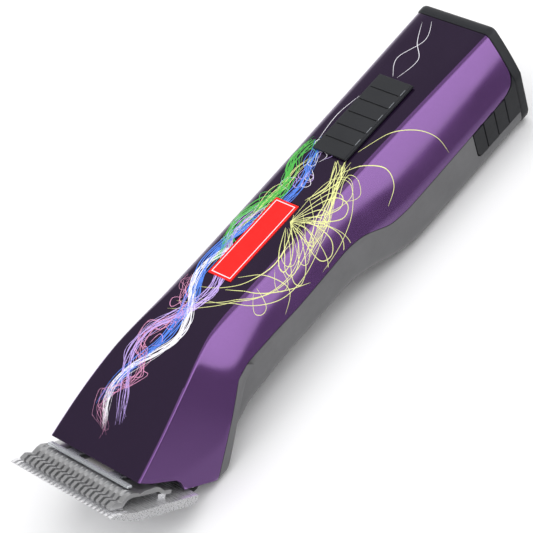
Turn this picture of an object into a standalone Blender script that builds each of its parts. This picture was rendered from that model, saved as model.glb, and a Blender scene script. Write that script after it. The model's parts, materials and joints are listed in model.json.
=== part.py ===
"""Cordless animal clipper: two-part housing, drive, detachable blade set and battery pack.

All sizes are in millimetres and are scaled to metres as meshes are made. Two drawing frames are used:
  body   x back from the blade's tips, y to the left, z up, motor and shells run along x
  blade  d back from the tips and h up from them, in the blade's own tilted plane
"""
import math
from bisect import bisect_right

import bmesh
import bpy
from mathutils import Matrix, Vector

MM = 0.001
GAP = 0.3                    # clearance between touching pieces

# Overall sizes
LENGTH = 220.0
BOTTOM = -33.5               # rest plane, below the blade's tips
BLADE_TILT = 38.4            # degrees between the blade plane and the body's axis
WALL = 2.0
SHELL_FRONT, SHELL_REAR = 10.0, 215.4
CAVITY_FRONT = 17.6

# Outer body: x, top z, top flat half-width, edge radius, widest half-width, its z,
# bottom z, corner centre half-width, corner radius
BODY = [
    (10, -4.2, 20.9, 0.8, 21.8, -8.0, -33.5, 17.3, 4.2),
    (16, -2.3, 20.7, 0.8, 21.6, -9.0, -33.5, 17.3, 4.2),
    (30, 2.3, 19.7, 0.8, 21.5, -15.0, -33.5, 17.3, 4.2),
    (48, 7.8, 17.1, 1.0, 21.5, -20.0, -33.5, 17.3, 4.2),
    (60, 10.6, 14.4, 1.4, 21.2, -13.0, -28.0, 14.0, 6.0),
    (68, 11.7, 12.6, 2.2, 20.7, -8.0, -26.0, 11.0, 7.0),
    (78, 12.0, 11.6, 3.2, 19.7, -6.5, -25.5, 9.0, 8.0),
    (90, 12.0, 11.4, 3.6, 19.1, -6.0, -25.5, 8.4, 8.0),
    (122, 12.0, 11.7, 3.6, 19.1, -6.0, -25.5, 8.4, 8.0),
    (134, 12.0, 11.9, 3.4, 19.5, -7.0, -28.0, 9.0, 8.0),
    (146, 12.0, 12.2, 3.2, 20.3, -8.6, -31.9, 10.3, 8.0),
    (156, 12.0, 12.5, 3.1, 20.9, -9.0, -33.5, 11.0, 8.0),
    (180, 11.9, 13.1, 3.0, 21.3, -9.0, -33.5, 11.2, 8.0),
    (216, 11.6, 14.3, 2.6, 21.6, -8.8, -33.5, 11.2, 8.0),
]
# The lower shell's narrower belly under the nose: x, half-width, corner centre, corner radius
BELLY = [
    (38, 17.5, 10.5, 7.0),
    (60, 17.8, 10.5, 7.0),
    (68, 18.6, 9.6, 7.5),
    (78, 19.7, 9.0, 8.0),
]
BODY_STATIONS = [10, 20, 30, 40, 48, 55, 61, 66, 71, 78, 88, 122, 130, 138, 146, 154, 180, 215.4]
SEAM = [(30, -41.4), (65.5, -6.2), (71, -4.8), (98, -6.0), (126, -5.0), (134, -6.2), (145, -12.6),
        (153, -13.2), (230, -10.8)]
SEAM_GAP = 0.4
SHELF = 3.4                  # thickness of the lower shell's band under the nose's edge
SHELL_CORNER = 8.0           # radius of the upper shell's rear lower corner
CORNER = (SHELL_REAR - SHELL_CORNER, -3.3)
RIB_X, RIB = (84.5, 108.5), 3.0     # ribs that hold the motor's rubber rings
BULKHEAD_X = 146.2
NOSE_LINE = [(-20, 7.9), (14, 7.9), (20, 6.5), (30.9, 5.2), (33.4, 3.8), (35.6, 0.9), (75, 0.7)]

# Drive
MOTOR_Z = -6.5
MOTOR_R, MOTOR_WALL = 14.0, 1.2
MOTOR_FRONT, MOTOR_REAR = 80.0, 118.0
SHAFT_R = 1.6
BUSH_R = 3.6
ECCENTRICITY = 0.7
HUB_R, CRANK_PIN_R, BEARING_R = 4.2, 1.2, 2.6
HUB_X, PIN_X = 68.5, 62.0
LEVER_D = 44.0               # lever pivot, back from the tips in the blade plane
LEVER_PIN_R, BUSH_OUTER = 1.5, 2.5
LEVER_BOSS_R, LEVER_BOSS_H = 4.6, (11.2, 17.0)
FORK_GAP = 4.6
FINGER_D, FINGER_HALF = (20.5, 23.5), 1.6
ARMATURE_R = 10.2
DAMPER_R = 15.6
MOTOR_SCREW_Y = 8.5

# Head frame, in the blade's plane
HEAD_HALF, HEAD_TOP, HEAD_UNDER = 19.2, 9.4, 7.0
HEAD_SCREW_D, HEAD_SCREW_Y, HEAD_SEAT, HEAD_SCREW = 24.0, 14.5, 8.2, 5.6
HEAD_POST_R = 3.2

# Blade set
COMB_HALF = 24.6
COMB_TEETH, COMB_SLOT, COMB_SLOT_DEPTH = 26, 0.95, 8.6
CUTTER_HALF = 22.0
CUTTER_TEETH, CUTTER_SLOT, CUTTER_SLOT_DEPTH = 18, 1.1, 8.4
COMB_PROFILE = [(0, 0), (1.8, 0.7), (11.3, -0.4), (39.1, -0.4), (39.1, -2.8), (37.6, -3.7),
                (13.4, -3.8), (8.5, -2.8)]
CUTTER_PROFILE = [(1.8, 2.3), (3.7, 3.6), (6.7, 2.9), (8.6, 4.5), (10.3, 5.3), (13.6, 4.8),
                  (14.6, 4.2), (16.5, 4.8), (21.6, 5.1), (23.5, 4.5), (25.6, 3.0), (28.8, 2.6),
                  (28.8, 1.3), (27, 1.4), (25, 1.9), (23, 3.2), (16.4, 3.3), (11.2, 3.7),
                  (9.5, 3.2), (7.4, 1.1), (2.2, 1.2)]
HINGE_D, HINGE_H = 42.0, 0.2
HINGE_R, HINGE_PIN_R = 2.6, 1.2
KNUCKLE_HALF = 16.0
TONGUE_HALF = 7.0
YOKE_HALF, YOKE_SLOT = 6.0, 1.9
BLADE_SCREW_Y, BLADE_SCREW_D = 9.8, 33.6
RELEASE_D = (46.4, 49.4)

# Switch, badge and electrics
SLIDER_X, SLIDER_HALF, SLIDER_Z = (146.7, 184.3), 7.7, (12.3, 13.2)
SLIDER_GROOVES = 5
SLIDER_STEM_X = (160.0, 166.0)
SWITCH_TRAVEL = 5.0
BADGE_X, BADGE_HALF, BADGE_Z = (87.3, 123.7), 5.3, (11.5, 12.15)
BOARD_Z = (2.1, 3.6)

# Battery pack
CASE_X, CASE_TOP, CASE_WALL = (152.5, 215.2), 0.8, 1.1
CELL_R, CELL_Y, CELL_Z, CELL_X = 8.0, 8.4, -9.6, (156.0, 206.0)
CAP_X, CAP_FLARE = 215.8, 0.35
BUTTON_X, BUTTON_TOP, BUTTON_BOTTOM = (190.7, 215.3), -12.45, -24.6
BUTTON_GROOVES = (196.3, 202.5, 208.7)
SPRING_X, SPRING_Z = 203.0, -21.8

# Screws, and those that close the housing: x, y, seat z
SCREW_R, SCREW_HEAD_R, SCREW_HEAD, SOCKET_R = 1.4, 2.4, 1.5, 1.0
HOLE_R = SCREW_R + GAP
HOUSING_SCREWS = {"front": (57.0, 12.2, -24.6), "rear": (138.0, 12.0, -20.0)}
HOUSING_SCREW = 16.0
POST_R = 4.0

ALONG_X, UPRIGHT, FLIPPED = (0, math.radians(90), 0), (0, 0, 0), (math.radians(180), 0, 0)

AXIS_TURN = {
    "X": Matrix(((0, 0, 1, 0), (1, 0, 0, 0), (0, 1, 0, 0), (0, 0, 0, 1))),
    "Y": Matrix.Rotation(math.radians(90), 4, "X"),
    "Z": Matrix.Identity(4),
}


# ---------------------------------------------------------------- scene and materials

def clear_scene():
    for item in list(bpy.data.objects):
        bpy.data.objects.remove(item, do_unlink=True)


def make_collection(name):
    collection = bpy.data.collections.new(name)
    bpy.context.scene.collection.children.link(collection)
    return collection


def make_material(name, colour, roughness, metallic=0.0):
    material = bpy.data.materials.new(name)
    material.use_nodes = True
    shader = material.node_tree.nodes["Principled BSDF"]
    shader.inputs["Base Color"].default_value = (*colour, 1.0)
    shader.inputs["Roughness"].default_value = roughness
    shader.inputs["Metallic"].default_value = metallic
    return material


def make_frame(name, tilt):
    """An empty at the blade's tips, turned about y by the tilt."""
    frame = bpy.data.objects.new(name, None)
    frame.location = (-LENGTH / 2 * MM, 0, -BOTTOM * MM)
    frame.rotation_euler = (0, math.radians(tilt), 0)
    bpy.context.scene.collection.objects.link(frame)
    return frame


clear_scene()
PARTS = make_collection("pet_clipper")
CUTTERS = make_collection("cutters")
BODY_FRAME = make_frame("body_frame", 0)
BLADE_FRAME = make_frame("blade_frame", BLADE_TILT)

PURPLE = make_material("purple_lacquer", (0.16, 0.05, 0.28), 0.18, 0.6)
GREY = make_material("grey_soft_plastic", (0.16, 0.16, 0.17), 0.5)
CHARCOAL = make_material("charcoal_plastic", (0.04, 0.045, 0.05), 0.45)
BLACK = make_material("black_plastic", (0.015, 0.015, 0.016), 0.5)
RED = make_material("red_enamel", (0.75, 0.03, 0.03), 0.3)
STEEL = make_material("ground_steel", (0.55, 0.55, 0.56), 0.28, 1.0)
ZINC = make_material("zinc_plate", (0.62, 0.63, 0.64), 0.35, 1.0)
BRASS = make_material("brass", (0.75, 0.55, 0.25), 0.3, 1.0)
COPPER = make_material("copper_winding", (0.7, 0.32, 0.16), 0.35, 1.0)
FERRITE = make_material("ferrite", (0.05, 0.05, 0.055), 0.7)
RUBBER = make_material("black_rubber", (0.02, 0.02, 0.02), 0.8)
BOARD_GREEN = make_material("green_board", (0.02, 0.18, 0.08), 0.45)
NYLON = make_material("white_nylon", (0.8, 0.8, 0.77), 0.5)
CELL_WRAP = make_material("cell_wrap", (0.05, 0.16, 0.5), 0.35)
RED_WIRE = make_material("red_wire", (0.6, 0.02, 0.02), 0.45)
BLACK_WIRE = make_material("black_wire", (0.02, 0.02, 0.02), 0.45)


# ---------------------------------------------------------------- outlines

def smooth_value(table, column, x):
    """One column of a station table at x, by cubic pieces that never overshoot."""
    xs = [row[0] for row in table]
    ys = [row[column] for row in table]
    x = min(max(x, xs[0]), xs[-1])
    i = min(max(bisect_right(xs, x) - 1, 0), len(xs) - 2)
    rises = [(ys[k + 1] - ys[k]) / (xs[k + 1] - xs[k]) for k in range(len(xs) - 1)]

    def slope(k):
        if k in (0, len(rises)):
            return rises[min(k, len(rises) - 1)]
        before, after = rises[k - 1], rises[k]
        return 0.0 if before * after <= 0 else 2 * before * after / (before + after)

    step = xs[i + 1] - xs[i]
    t = (x - xs[i]) / step
    return (ys[i] * (2 * t**3 - 3 * t**2 + 1) + ys[i + 1] * (3 * t**2 - 2 * t**3)
            + step * (slope(i) * (t**3 - 2 * t**2 + t) + slope(i + 1) * (t**3 - t**2)))


def section(x, inset=0.0, belly=False):
    """The body's closed outline at x as (y, z) points, moved in by inset."""
    top, flat, edge, wide, wide_z, bottom, corner_y, corner = (
        smooth_value(BODY, column, x) for column in range(1, 9))
    if belly and x < BELLY[-1][0]:
        wide, corner_y, corner = (smooth_value(BELLY, column, x) for column in range(1, 4))
        flat = min(flat, wide - edge - 1)
    facet = max(0.0, math.atan2(wide - flat - edge, top - wide_z))
    inner_edge = max(edge - inset, 0.5)
    flat += edge - inset - inner_edge
    top, wide, bottom, corner = top - inset, wide - inset, bottom + inset, corner - inset
    half = [(flat + inner_edge * math.sin(turn), top - inner_edge * (1 - math.cos(turn)))
            for turn in (0, (math.pi / 2 - facet) / 2, math.pi / 2 - facet)]
    edge_y, edge_z = half[-1]
    bend_y, bend_z = edge_y + 0.62 * (wide - edge_y), edge_z + 0.44 * (wide_z - edge_z)
    for t in (0.3, 0.6, 0.8, 1.0):
        half.append(((1 - t)**2 * edge_y + 2 * t * (1 - t) * bend_y + t**2 * wide,
                     (1 - t)**2 * edge_z + 2 * t * (1 - t) * bend_z + t**2 * wide_z))
    for degrees in (8, 30, 50, 70, 90):
        turn = math.radians(degrees)
        half.append((corner_y + corner * math.cos(turn), bottom + corner - corner * math.sin(turn)))
    return half + [(-y, z) for y, z in reversed(half)]


def arc(centre, radius, start, end, steps):
    """Points on an arc, from start to end in degrees."""
    turns = [math.radians(start + (end - start) * k / steps) for k in range(steps + 1)]
    return [(centre[0] + radius * math.cos(a), centre[1] + radius * math.sin(a)) for a in turns]


def above_seam(shift):
    """The region above the seam line moved by shift in z."""
    line = [(x, z + shift) for x, z in SEAM]
    return line + [(line[-1][0], 40), (line[0][0] - 25, 40), (line[0][0] - 25, line[0][1])]


# ---------------------------------------------------------------- meshes

def finish_mesh(bm, name):
    bmesh.ops.scale(bm, vec=(MM, MM, MM), verts=bm.verts)
    bmesh.ops.recalc_face_normals(bm, faces=bm.faces)
    mesh = bpy.data.meshes.new(name)
    bm.to_mesh(mesh)
    bm.free()
    return mesh


def box_mesh(name, low, high, chamfer=0.0):
    bm = bmesh.new()
    size = [high[k] - low[k] for k in range(3)]
    middle = [(high[k] + low[k]) / 2 for k in range(3)]
    bmesh.ops.create_cube(bm, size=1.0)
    bmesh.ops.scale(bm, vec=size, verts=bm.verts)
    if chamfer:
        bmesh.ops.bevel(bm, geom=bm.edges, offset=chamfer, segments=1, affect="EDGES")
    bmesh.ops.translate(bm, vec=middle, verts=bm.verts)
    return finish_mesh(bm, name)


def boxes_mesh(name, boxes):
    """Several separate boxes in one cutter mesh."""
    bm = bmesh.new()
    for low, high in boxes:
        made = bmesh.ops.create_cube(bm, size=1.0)["verts"]
        bmesh.ops.scale(bm, vec=[high[k] - low[k] for k in range(3)], verts=made)
        bmesh.ops.translate(bm, vec=[(high[k] + low[k]) / 2 for k in range(3)], verts=made)
    return finish_mesh(bm, name)


def rod_mesh(name, start, end, radius, sides=24):
    bm = bmesh.new()
    start, end = Vector(start), Vector(end)
    direction = end - start
    bmesh.ops.create_cone(bm, cap_ends=True, segments=sides, radius1=radius, radius2=radius,
                          depth=direction.length)
    turn = Vector((0, 0, 1)).rotation_difference(direction).to_matrix().to_4x4()
    bmesh.ops.transform(bm, matrix=Matrix.Translation((start + end) / 2) @ turn, verts=bm.verts)
    return finish_mesh(bm, name)


def loft_mesh(name, loops):
    """A closed skin through loops of (x, y, z) points, capped at both ends."""
    bm = bmesh.new()
    rings = [[bm.verts.new(point) for point in loop] for loop in loops]
    for first, second in zip(rings, rings[1:]):
        for k in range(len(first)):
            after = (k + 1) % len(first)
            bm.faces.new((first[k], first[after], second[after]))
            bm.faces.new((first[k], second[after], second[k]))
    bm.faces.new(rings[0])
    bm.faces.new(rings[-1])
    return finish_mesh(bm, name)


def prism_mesh(name, outline, low, high, axis):
    """A flat outline extruded from low to high along an axis of its frame."""
    curve = bpy.data.curves.new(name, "CURVE")
    curve.dimensions = "2D"
    curve.fill_mode = "BOTH"
    curve.extrude = (high - low) / 2
    spline = curve.splines.new("POLY")
    spline.points.add(len(outline) - 1)
    for point, (u, v) in zip(spline.points, outline):
        point.co = (u, v, 0, 1)
    spline.use_cyclic_u = True
    guide = bpy.data.objects.new(name, curve)
    CUTTERS.objects.link(guide)
    bpy.context.view_layer.update()
    filled = bpy.data.meshes.new_from_object(
        guide.evaluated_get(bpy.context.evaluated_depsgraph_get()))
    bpy.data.objects.remove(guide)
    bm = bmesh.new()
    bm.from_mesh(filled)
    bpy.data.meshes.remove(filled)
    bmesh.ops.remove_doubles(bm, verts=bm.verts, dist=0.0001)
    shift = Vector([(high + low) / 2 if axis == letter else 0 for letter in "XYZ"])
    bmesh.ops.transform(bm, matrix=Matrix.Translation(shift) @ AXIS_TURN[axis], verts=bm.verts)
    return finish_mesh(bm, name)


def body_mesh(name, inset=0.0, belly=False, start=SHELL_FRONT, end=SHELL_REAR):
    inside = [x for x in BODY_STATIONS if start + 1 < x < end - 1]
    return loft_mesh(name, [[(x, y, z) for y, z in section(x, inset, belly)]
                            for x in [start, *inside, end]])


# ---------------------------------------------------------------- objects

def place(name, mesh, material, frame, origin=(0, 0, 0), smooth=False):
    """A part made from a mesh drawn in a frame, with its own origin in that frame."""
    origin = Vector(origin) * MM
    mesh.transform(Matrix.Translation(-origin))
    mesh.materials.append(material)
    if smooth:
        mesh.shade_smooth()
        mesh.set_sharp_from_angle(angle=math.radians(35))
    part = bpy.data.objects.new(name, mesh)
    part.parent = frame
    part.location = origin
    PARTS.objects.link(part)
    return part


def cutter(mesh, frame):
    tool = bpy.data.objects.new(mesh.name + "_cutter", mesh)
    tool.parent = frame
    tool.hide_render = True
    tool.display_type = "WIRE"
    CUTTERS.objects.link(tool)
    return tool


def combine(part, operation, shape, frame=None, solver="EXACT"):
    """A Boolean of a part with a cutter, or with a mesh drawn in a frame."""
    tool = cutter(shape, frame) if frame else shape
    modifier = part.modifiers.new(tool.name, "BOOLEAN")
    modifier.operation = operation
    modifier.solver = solver
    modifier.object = tool


def shell_combine(part, operation, shape, frame=None):
    """A Boolean on a thin lofted shell, whose near-flush faces need the manifold solver."""
    combine(part, operation, shape, frame, "MANIFOLD")


def turned(name, profile, origin, turn, material, frame, sides=28):
    """A profile of (radius, along) points, running down its outer side, turned about its axis.

    A profile that starts on the axis also ends there; any other is closed round a bore.
    """
    bm = bmesh.new()
    points = [bm.verts.new((radius * MM, 0, along * MM)) for radius, along in profile]
    for first, second in zip(points, points[1:]):
        bm.edges.new((first, second))
    if profile[0][0] > 0:
        bm.edges.new((points[-1], points[0]))
    mesh = bpy.data.meshes.new(name)
    bm.to_mesh(mesh)
    bm.free()
    part = place(name, mesh, material, frame)
    part.location = Vector(origin) * MM
    part.rotation_euler = turn
    screw = part.modifiers.new("turn", "SCREW")
    screw.steps = screw.render_steps = sides
    screw.use_merge_vertices = True
    screw.merge_threshold = 0.00001
    screw.use_smooth_shade = True
    return part


def ring(name, inner, outer, low, high, z, material, sides=28):
    """A plain ring about an axis along the body at height z."""
    profile = [(outer, high), (outer, low), (inner, low), (inner, high)]
    return turned(name, profile, (0, 0, z), ALONG_X, material, BODY_FRAME, sides)


def screw_part(name, origin, turn, length, frame):
    """A socket-head screw: its shank runs from the origin along its own z, its head the other way."""
    profile = [(0, length), (SCREW_R, length), (SCREW_R, 0), (SCREW_HEAD_R, 0),
               (SCREW_HEAD_R, -SCREW_HEAD), (SOCKET_R, -SCREW_HEAD), (SOCKET_R, -SCREW_HEAD / 2),
               (0, -SCREW_HEAD / 2)]
    return turned(name, profile, origin, turn, ZINC, frame, 12)


def tube(name, points, radius, material, frame):
    """A round wire or spring along points, with filled ends."""
    curve = bpy.data.curves.new(name, "CURVE")
    curve.dimensions = "3D"
    curve.bevel_depth = radius * MM
    curve.bevel_resolution = 0
    curve.use_fill_caps = True
    spline = curve.splines.new("POLY")
    spline.points.add(len(points) - 1)
    for control, point in zip(spline.points, points):
        control.co = (*(Vector(point) * MM), 1)
    curve.materials.append(material)
    part = bpy.data.objects.new(name, curve)
    part.parent = frame
    PARTS.objects.link(part)
    return part


def coil_points(start, end, radius, turns, per_turn=8):
    """A helix between two points, about the line that joins them."""
    start, end = Vector(start), Vector(end)
    turn = Vector((0, 0, 1)).rotation_difference(end - start)
    steps = turns * per_turn
    return [start + (end - start) * k / steps
            + turn @ Vector((radius * math.cos(2 * math.pi * k / per_turn),
                             radius * math.sin(2 * math.pi * k / per_turn), 0))
            for k in range(steps + 1)]


# ---------------------------------------------------------------- housing

def housing_screws():
    """Each housing screw's label, x, y and seat height."""
    return [(f"{end}_{'left' if side > 0 else 'right'}", x, side * y, seat)
            for end, (x, y, seat) in HOUSING_SCREWS.items() for side in (-1, 1)]


def make_cavity(name, belly):
    """The hollow inside a shell, less its motor ribs and screw posts."""
    front = BELLY[0][0] if belly else CAVITY_FRONT
    hollow = cutter(body_mesh(name, WALL, belly, front, SHELL_REAR + 5), BODY_FRAME)
    ribs = [((x, -30, -40), (x + RIB, 30, 40)) for x in RIB_X]
    if belly:
        ribs.append(((BULKHEAD_X, -30, -40), (BULKHEAD_X + WALL, 30, -6)))
    shell_combine(hollow, "DIFFERENCE", boxes_mesh(name + "_ribs", ribs), BODY_FRAME)
    for label, x, y, seat in housing_screws():
        post = rod_mesh(f"{name}_post_{label}", (x, y, -40), (x, y, 40), POST_R, 20)
        shell_combine(hollow, "DIFFERENCE", post, BODY_FRAME)
    for side in (-1, 1):
        foot = Vector((HEAD_SCREW_D, side * HEAD_SCREW_Y, HEAD_TOP + 0.4))
        post = rod_mesh(f"{name}_head_post_{side}", foot, foot + Vector((0, 0, 20)), HEAD_POST_R, 16)
        shell_combine(hollow, "DIFFERENCE", post, BLADE_FRAME)
    return hollow


def button_outline(grow):
    """The side button seen from the side, following the upper shell's rear corner."""
    front, bottom = BUTTON_X[0] - grow, BUTTON_BOTTOM - grow
    rear = BUTTON_X[1] + 30 * grow
    points = arc((front + 2.6, bottom + 2.6), 2.6, 270, 180, 4)
    points.append((front, BUTTON_TOP + grow))
    points += arc(CORNER, SHELL_CORNER + SEAM_GAP - grow, -90, -20, 5)
    points += [(rear, CORNER[1] - 3.0 + grow), (rear, bottom)]
    return points


def make_upper_shell(nose_cut, above, motor_bore):
    part = place("upper_shell", body_mesh("upper_shell"), PURPLE, BODY_FRAME)
    shell_combine(part, "INTERSECT", above)
    shell_combine(part, "DIFFERENCE", nose_cut)
    shell_combine(part, "DIFFERENCE", make_cavity("roof_cavity", False))
    shell_combine(part, "DIFFERENCE", motor_bore)
    outline = arc(CORNER, SHELL_CORNER, -90, 0, 6)
    outline += [(LENGTH + 10, CORNER[1]), (LENGTH + 10, -20), (CORNER[0], -20)]
    shell_combine(part, "DIFFERENCE", prism_mesh("rear_corner", outline, -40, 40, "Y"), BODY_FRAME)
    slot = box_mesh("slider_slot", (SLIDER_STEM_X[0] - SWITCH_TRAVEL - 0.5, -3.0, 5),
                    (SLIDER_STEM_X[1] + 0.5, 3.0, 20))
    shell_combine(part, "DIFFERENCE", slot, BODY_FRAME)
    pocket = box_mesh("badge_pocket", (BADGE_X[0] - GAP, -BADGE_HALF - GAP, BADGE_Z[0] - GAP),
                      (BADGE_X[1] + GAP, BADGE_HALF + GAP, 20))
    shell_combine(part, "DIFFERENCE", pocket, BODY_FRAME)
    for label, x, y, seat in housing_screws():
        pilot = rod_mesh(f"pilot_{label}", (x, y, -30), (x, y, seat + HOUSING_SCREW + 0.4), HOLE_R, 16)
        shell_combine(part, "DIFFERENCE", pilot, BODY_FRAME)
    for side in (-1, 1):
        start = (HEAD_SCREW_D, side * HEAD_SCREW_Y, 5)
        end = (HEAD_SCREW_D, side * HEAD_SCREW_Y, HEAD_SEAT + HEAD_SCREW + 0.4)
        pilot = rod_mesh(f"head_pilot_{side}", start, end, HOLE_R, 16)
        shell_combine(part, "DIFFERENCE", pilot, BLADE_FRAME)


def make_lower_shell(nose_cut, motor_bore):
    part = place("lower_shell", body_mesh("lower_shell", 0.0, True, 38), GREY, BODY_FRAME)
    nose = cutter(body_mesh("nose_band", 0.0, False, 38, 80), BODY_FRAME)
    edge = [(x, z - SEAM_GAP) for x, z in SEAM[:3]]
    edge += [(x + SHELF * 0.7, z - SHELF * 0.7) for x, z in reversed(edge)]
    shell_combine(nose, "INTERSECT", prism_mesh("band", edge, -40, 40, "Y"), BODY_FRAME)
    shell_combine(nose, "DIFFERENCE", nose_cut)
    shell_combine(part, "DIFFERENCE", nose_cut)
    above = prism_mesh("above_gap", above_seam(-SEAM_GAP), -40, 40, "Y")
    shell_combine(part, "DIFFERENCE", above, BODY_FRAME)
    shell_combine(part, "UNION", nose)
    shell_combine(part, "DIFFERENCE", make_cavity("belly_cavity", True))
    shell_combine(part, "DIFFERENCE", motor_bore)
    for side in (-1, 1):
        low, high = sorted((side * 15.5, side * 30))
        notch = prism_mesh(f"button_notch_{side}", button_outline(SEAM_GAP), low, high, "Y")
        shell_combine(part, "DIFFERENCE", notch, BODY_FRAME)
    for label, x, y, seat in housing_screws():
        hole = rod_mesh(f"hole_{label}", (x, y, -40), (x, y, 0), HOLE_R, 16)
        shell_combine(part, "DIFFERENCE", hole, BODY_FRAME)
        sink = rod_mesh(f"sink_{label}", (x, y, -50), (x, y, seat), SCREW_HEAD_R + GAP, 20)
        shell_combine(part, "DIFFERENCE", sink, BODY_FRAME)


def make_housing(above):
    nose_cut = cutter(prism_mesh("nose_line", NOSE_LINE + [(75, -60), (-20, -60)], -40, 40, "Y"),
                      BLADE_FRAME)
    motor_bore = cutter(rod_mesh("motor_bore", (82, 0, MOTOR_Z), (114, 0, MOTOR_Z),
                                 DAMPER_R + GAP, 32), BODY_FRAME)
    make_upper_shell(nose_cut, above, motor_bore)
    make_lower_shell(nose_cut, motor_bore)
    badge = box_mesh("badge_plate", (BADGE_X[0], -BADGE_HALF, BADGE_Z[0]),
                     (BADGE_X[1], BADGE_HALF, BADGE_Z[1]), 0.12)
    place("badge_plate", badge, RED, BODY_FRAME)
    for label, x, y, seat in housing_screws():
        screw_part(f"housing_screw_{label}", (x, y, seat - GAP), UPRIGHT, HOUSING_SCREW, BODY_FRAME)


# ---------------------------------------------------------------- head and lever

def make_head_frame(above):
    ear = arc((HINGE_D, HINGE_H), HINGE_R, 180, 360, 8)
    outline = [(16.8, HEAD_TOP), (16.8, HEAD_UNDER), (29.5, HEAD_UNDER), (31, 5.9), (37.5, 5.9), (39.4, 3.4)]
    outline += ear + [(45.2, 1.1), (53, 1.1), (58, HEAD_TOP)]
    part = place("head_frame", prism_mesh("head_frame", outline, -HEAD_HALF, HEAD_HALF, "Y"),
                 BLACK, BLADE_FRAME)
    room = body_mesh("head_room", WALL + 0.35, False, CAVITY_FRONT + 0.4, 90)
    combine(part, "INTERSECT", room, BODY_FRAME)
    combine(part, "INTERSECT", above)
    openings = [((38, -KNUCKLE_HALF - GAP, -6), (45.0, KNUCKLE_HALF + GAP, 3.3)),
                ((17.5, -5.2, 5), (27.5, 5.2, 12)),
                ((RELEASE_D[0] - GAP, -4.8, -2), (RELEASE_D[1] + GAP, 4.8, 8.2))]
    combine(part, "DIFFERENCE", boxes_mesh("head_openings", openings), BLADE_FRAME)
    holes = [("lever_pin", (LEVER_D, 0, 3), (LEVER_D, 0, 12), LEVER_PIN_R + GAP),
             ("hinge_pin", (HINGE_D, -25, HINGE_H), (HINGE_D, 25, HINGE_H), HINGE_PIN_R + GAP)]
    for side in (-1, 1):
        place_d, place_y = HEAD_SCREW_D, side * HEAD_SCREW_Y
        holes.append((f"screw_{side}", (place_d, place_y, 5), (place_d, place_y, 12), HOLE_R))
        holes.append((f"sink_{side}", (place_d, place_y, 5), (place_d, place_y, HEAD_SEAT),
                      SCREW_HEAD_R + GAP))
    for label, start, end, radius in holes:
        hole = rod_mesh(f"head_{label}_hole", start, end, radius, 16)
        combine(part, "DIFFERENCE", hole, BLADE_FRAME)
    place("hinge_pin", rod_mesh("hinge_pin", (HINGE_D, -19, HINGE_H), (HINGE_D, 19, HINGE_H),
                                HINGE_PIN_R, 16), STEEL, BLADE_FRAME, (HINGE_D, 0, HINGE_H), True)
    place("lever_pivot_pin", rod_mesh("lever_pivot_pin", (LEVER_D, 0, 3.9), (LEVER_D, 0, 18.2),
                                      LEVER_PIN_R, 20), STEEL, BLADE_FRAME, (LEVER_D, 0, 0), True)
    for side, name in ((-1, "right"), (1, "left")):
        screw_part(f"head_screw_{name}", (HEAD_SCREW_D, side * HEAD_SCREW_Y, HEAD_SEAT - GAP),
                   UPRIGHT, HEAD_SCREW, BLADE_FRAME)


def make_lever():
    """Pivot boss, a front arm with its finger, and a forked rear arm."""
    low, high = LEVER_BOSS_H
    boss = rod_mesh("drive_lever", (LEVER_D, 0, low), (LEVER_D, 0, high), LEVER_BOSS_R, 32)
    part = place("drive_lever", boss, STEEL, BLADE_FRAME, (LEVER_D, 0, 0), True)
    arm = [(FINGER_D[0], 9.8), (40.5, 11.4), (LEVER_D, 11.4), (LEVER_D, 15.0), (40, 14.4),
           (24, 12.3), (FINGER_D[0], 11.8)]
    combine(part, "UNION", prism_mesh("lever_arm", arm, -2.6, 2.6, "Y"), BLADE_FRAME)
    finger = box_mesh("lever_finger", (FINGER_D[0], -FINGER_HALF, 3.4), (FINGER_D[1], FINGER_HALF, 11.0))
    combine(part, "UNION", finger, BLADE_FRAME)
    rear = [(43.4, -19.2), (60.5, -10.6), (60.5, -6.0), (45.8, -15.2)]
    combine(part, "UNION", prism_mesh("lever_rear", rear, -2.6, 2.6, "Y"), BODY_FRAME)
    half = FORK_GAP + 2.2
    combine(part, "UNION", box_mesh("fork_bar", (57.8, -half, -11.0), (61.0, half, -2.6)), BODY_FRAME)
    for side in (-1, 1):
        inner, outer = sorted((side * FORK_GAP, side * half))
        tine = box_mesh(f"fork_tine_{side}", (60.4, inner, -10.6), (67.3, outer, -2.9))
        combine(part, "UNION", tine, BODY_FRAME)
    bore = rod_mesh("lever_bore", (LEVER_D, 0, 5), (LEVER_D, 0, 25), BUSH_OUTER + GAP, 24)
    combine(part, "DIFFERENCE", bore, BLADE_FRAME)
    profile = [(BUSH_OUTER, high), (BUSH_OUTER, low), (LEVER_PIN_R + GAP, low), (LEVER_PIN_R + GAP, high)]
    turned("lever_bush", profile, (LEVER_D, 0, 0), UPRIGHT, BRASS, BLADE_FRAME, 24)


# ---------------------------------------------------------------- motor

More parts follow.
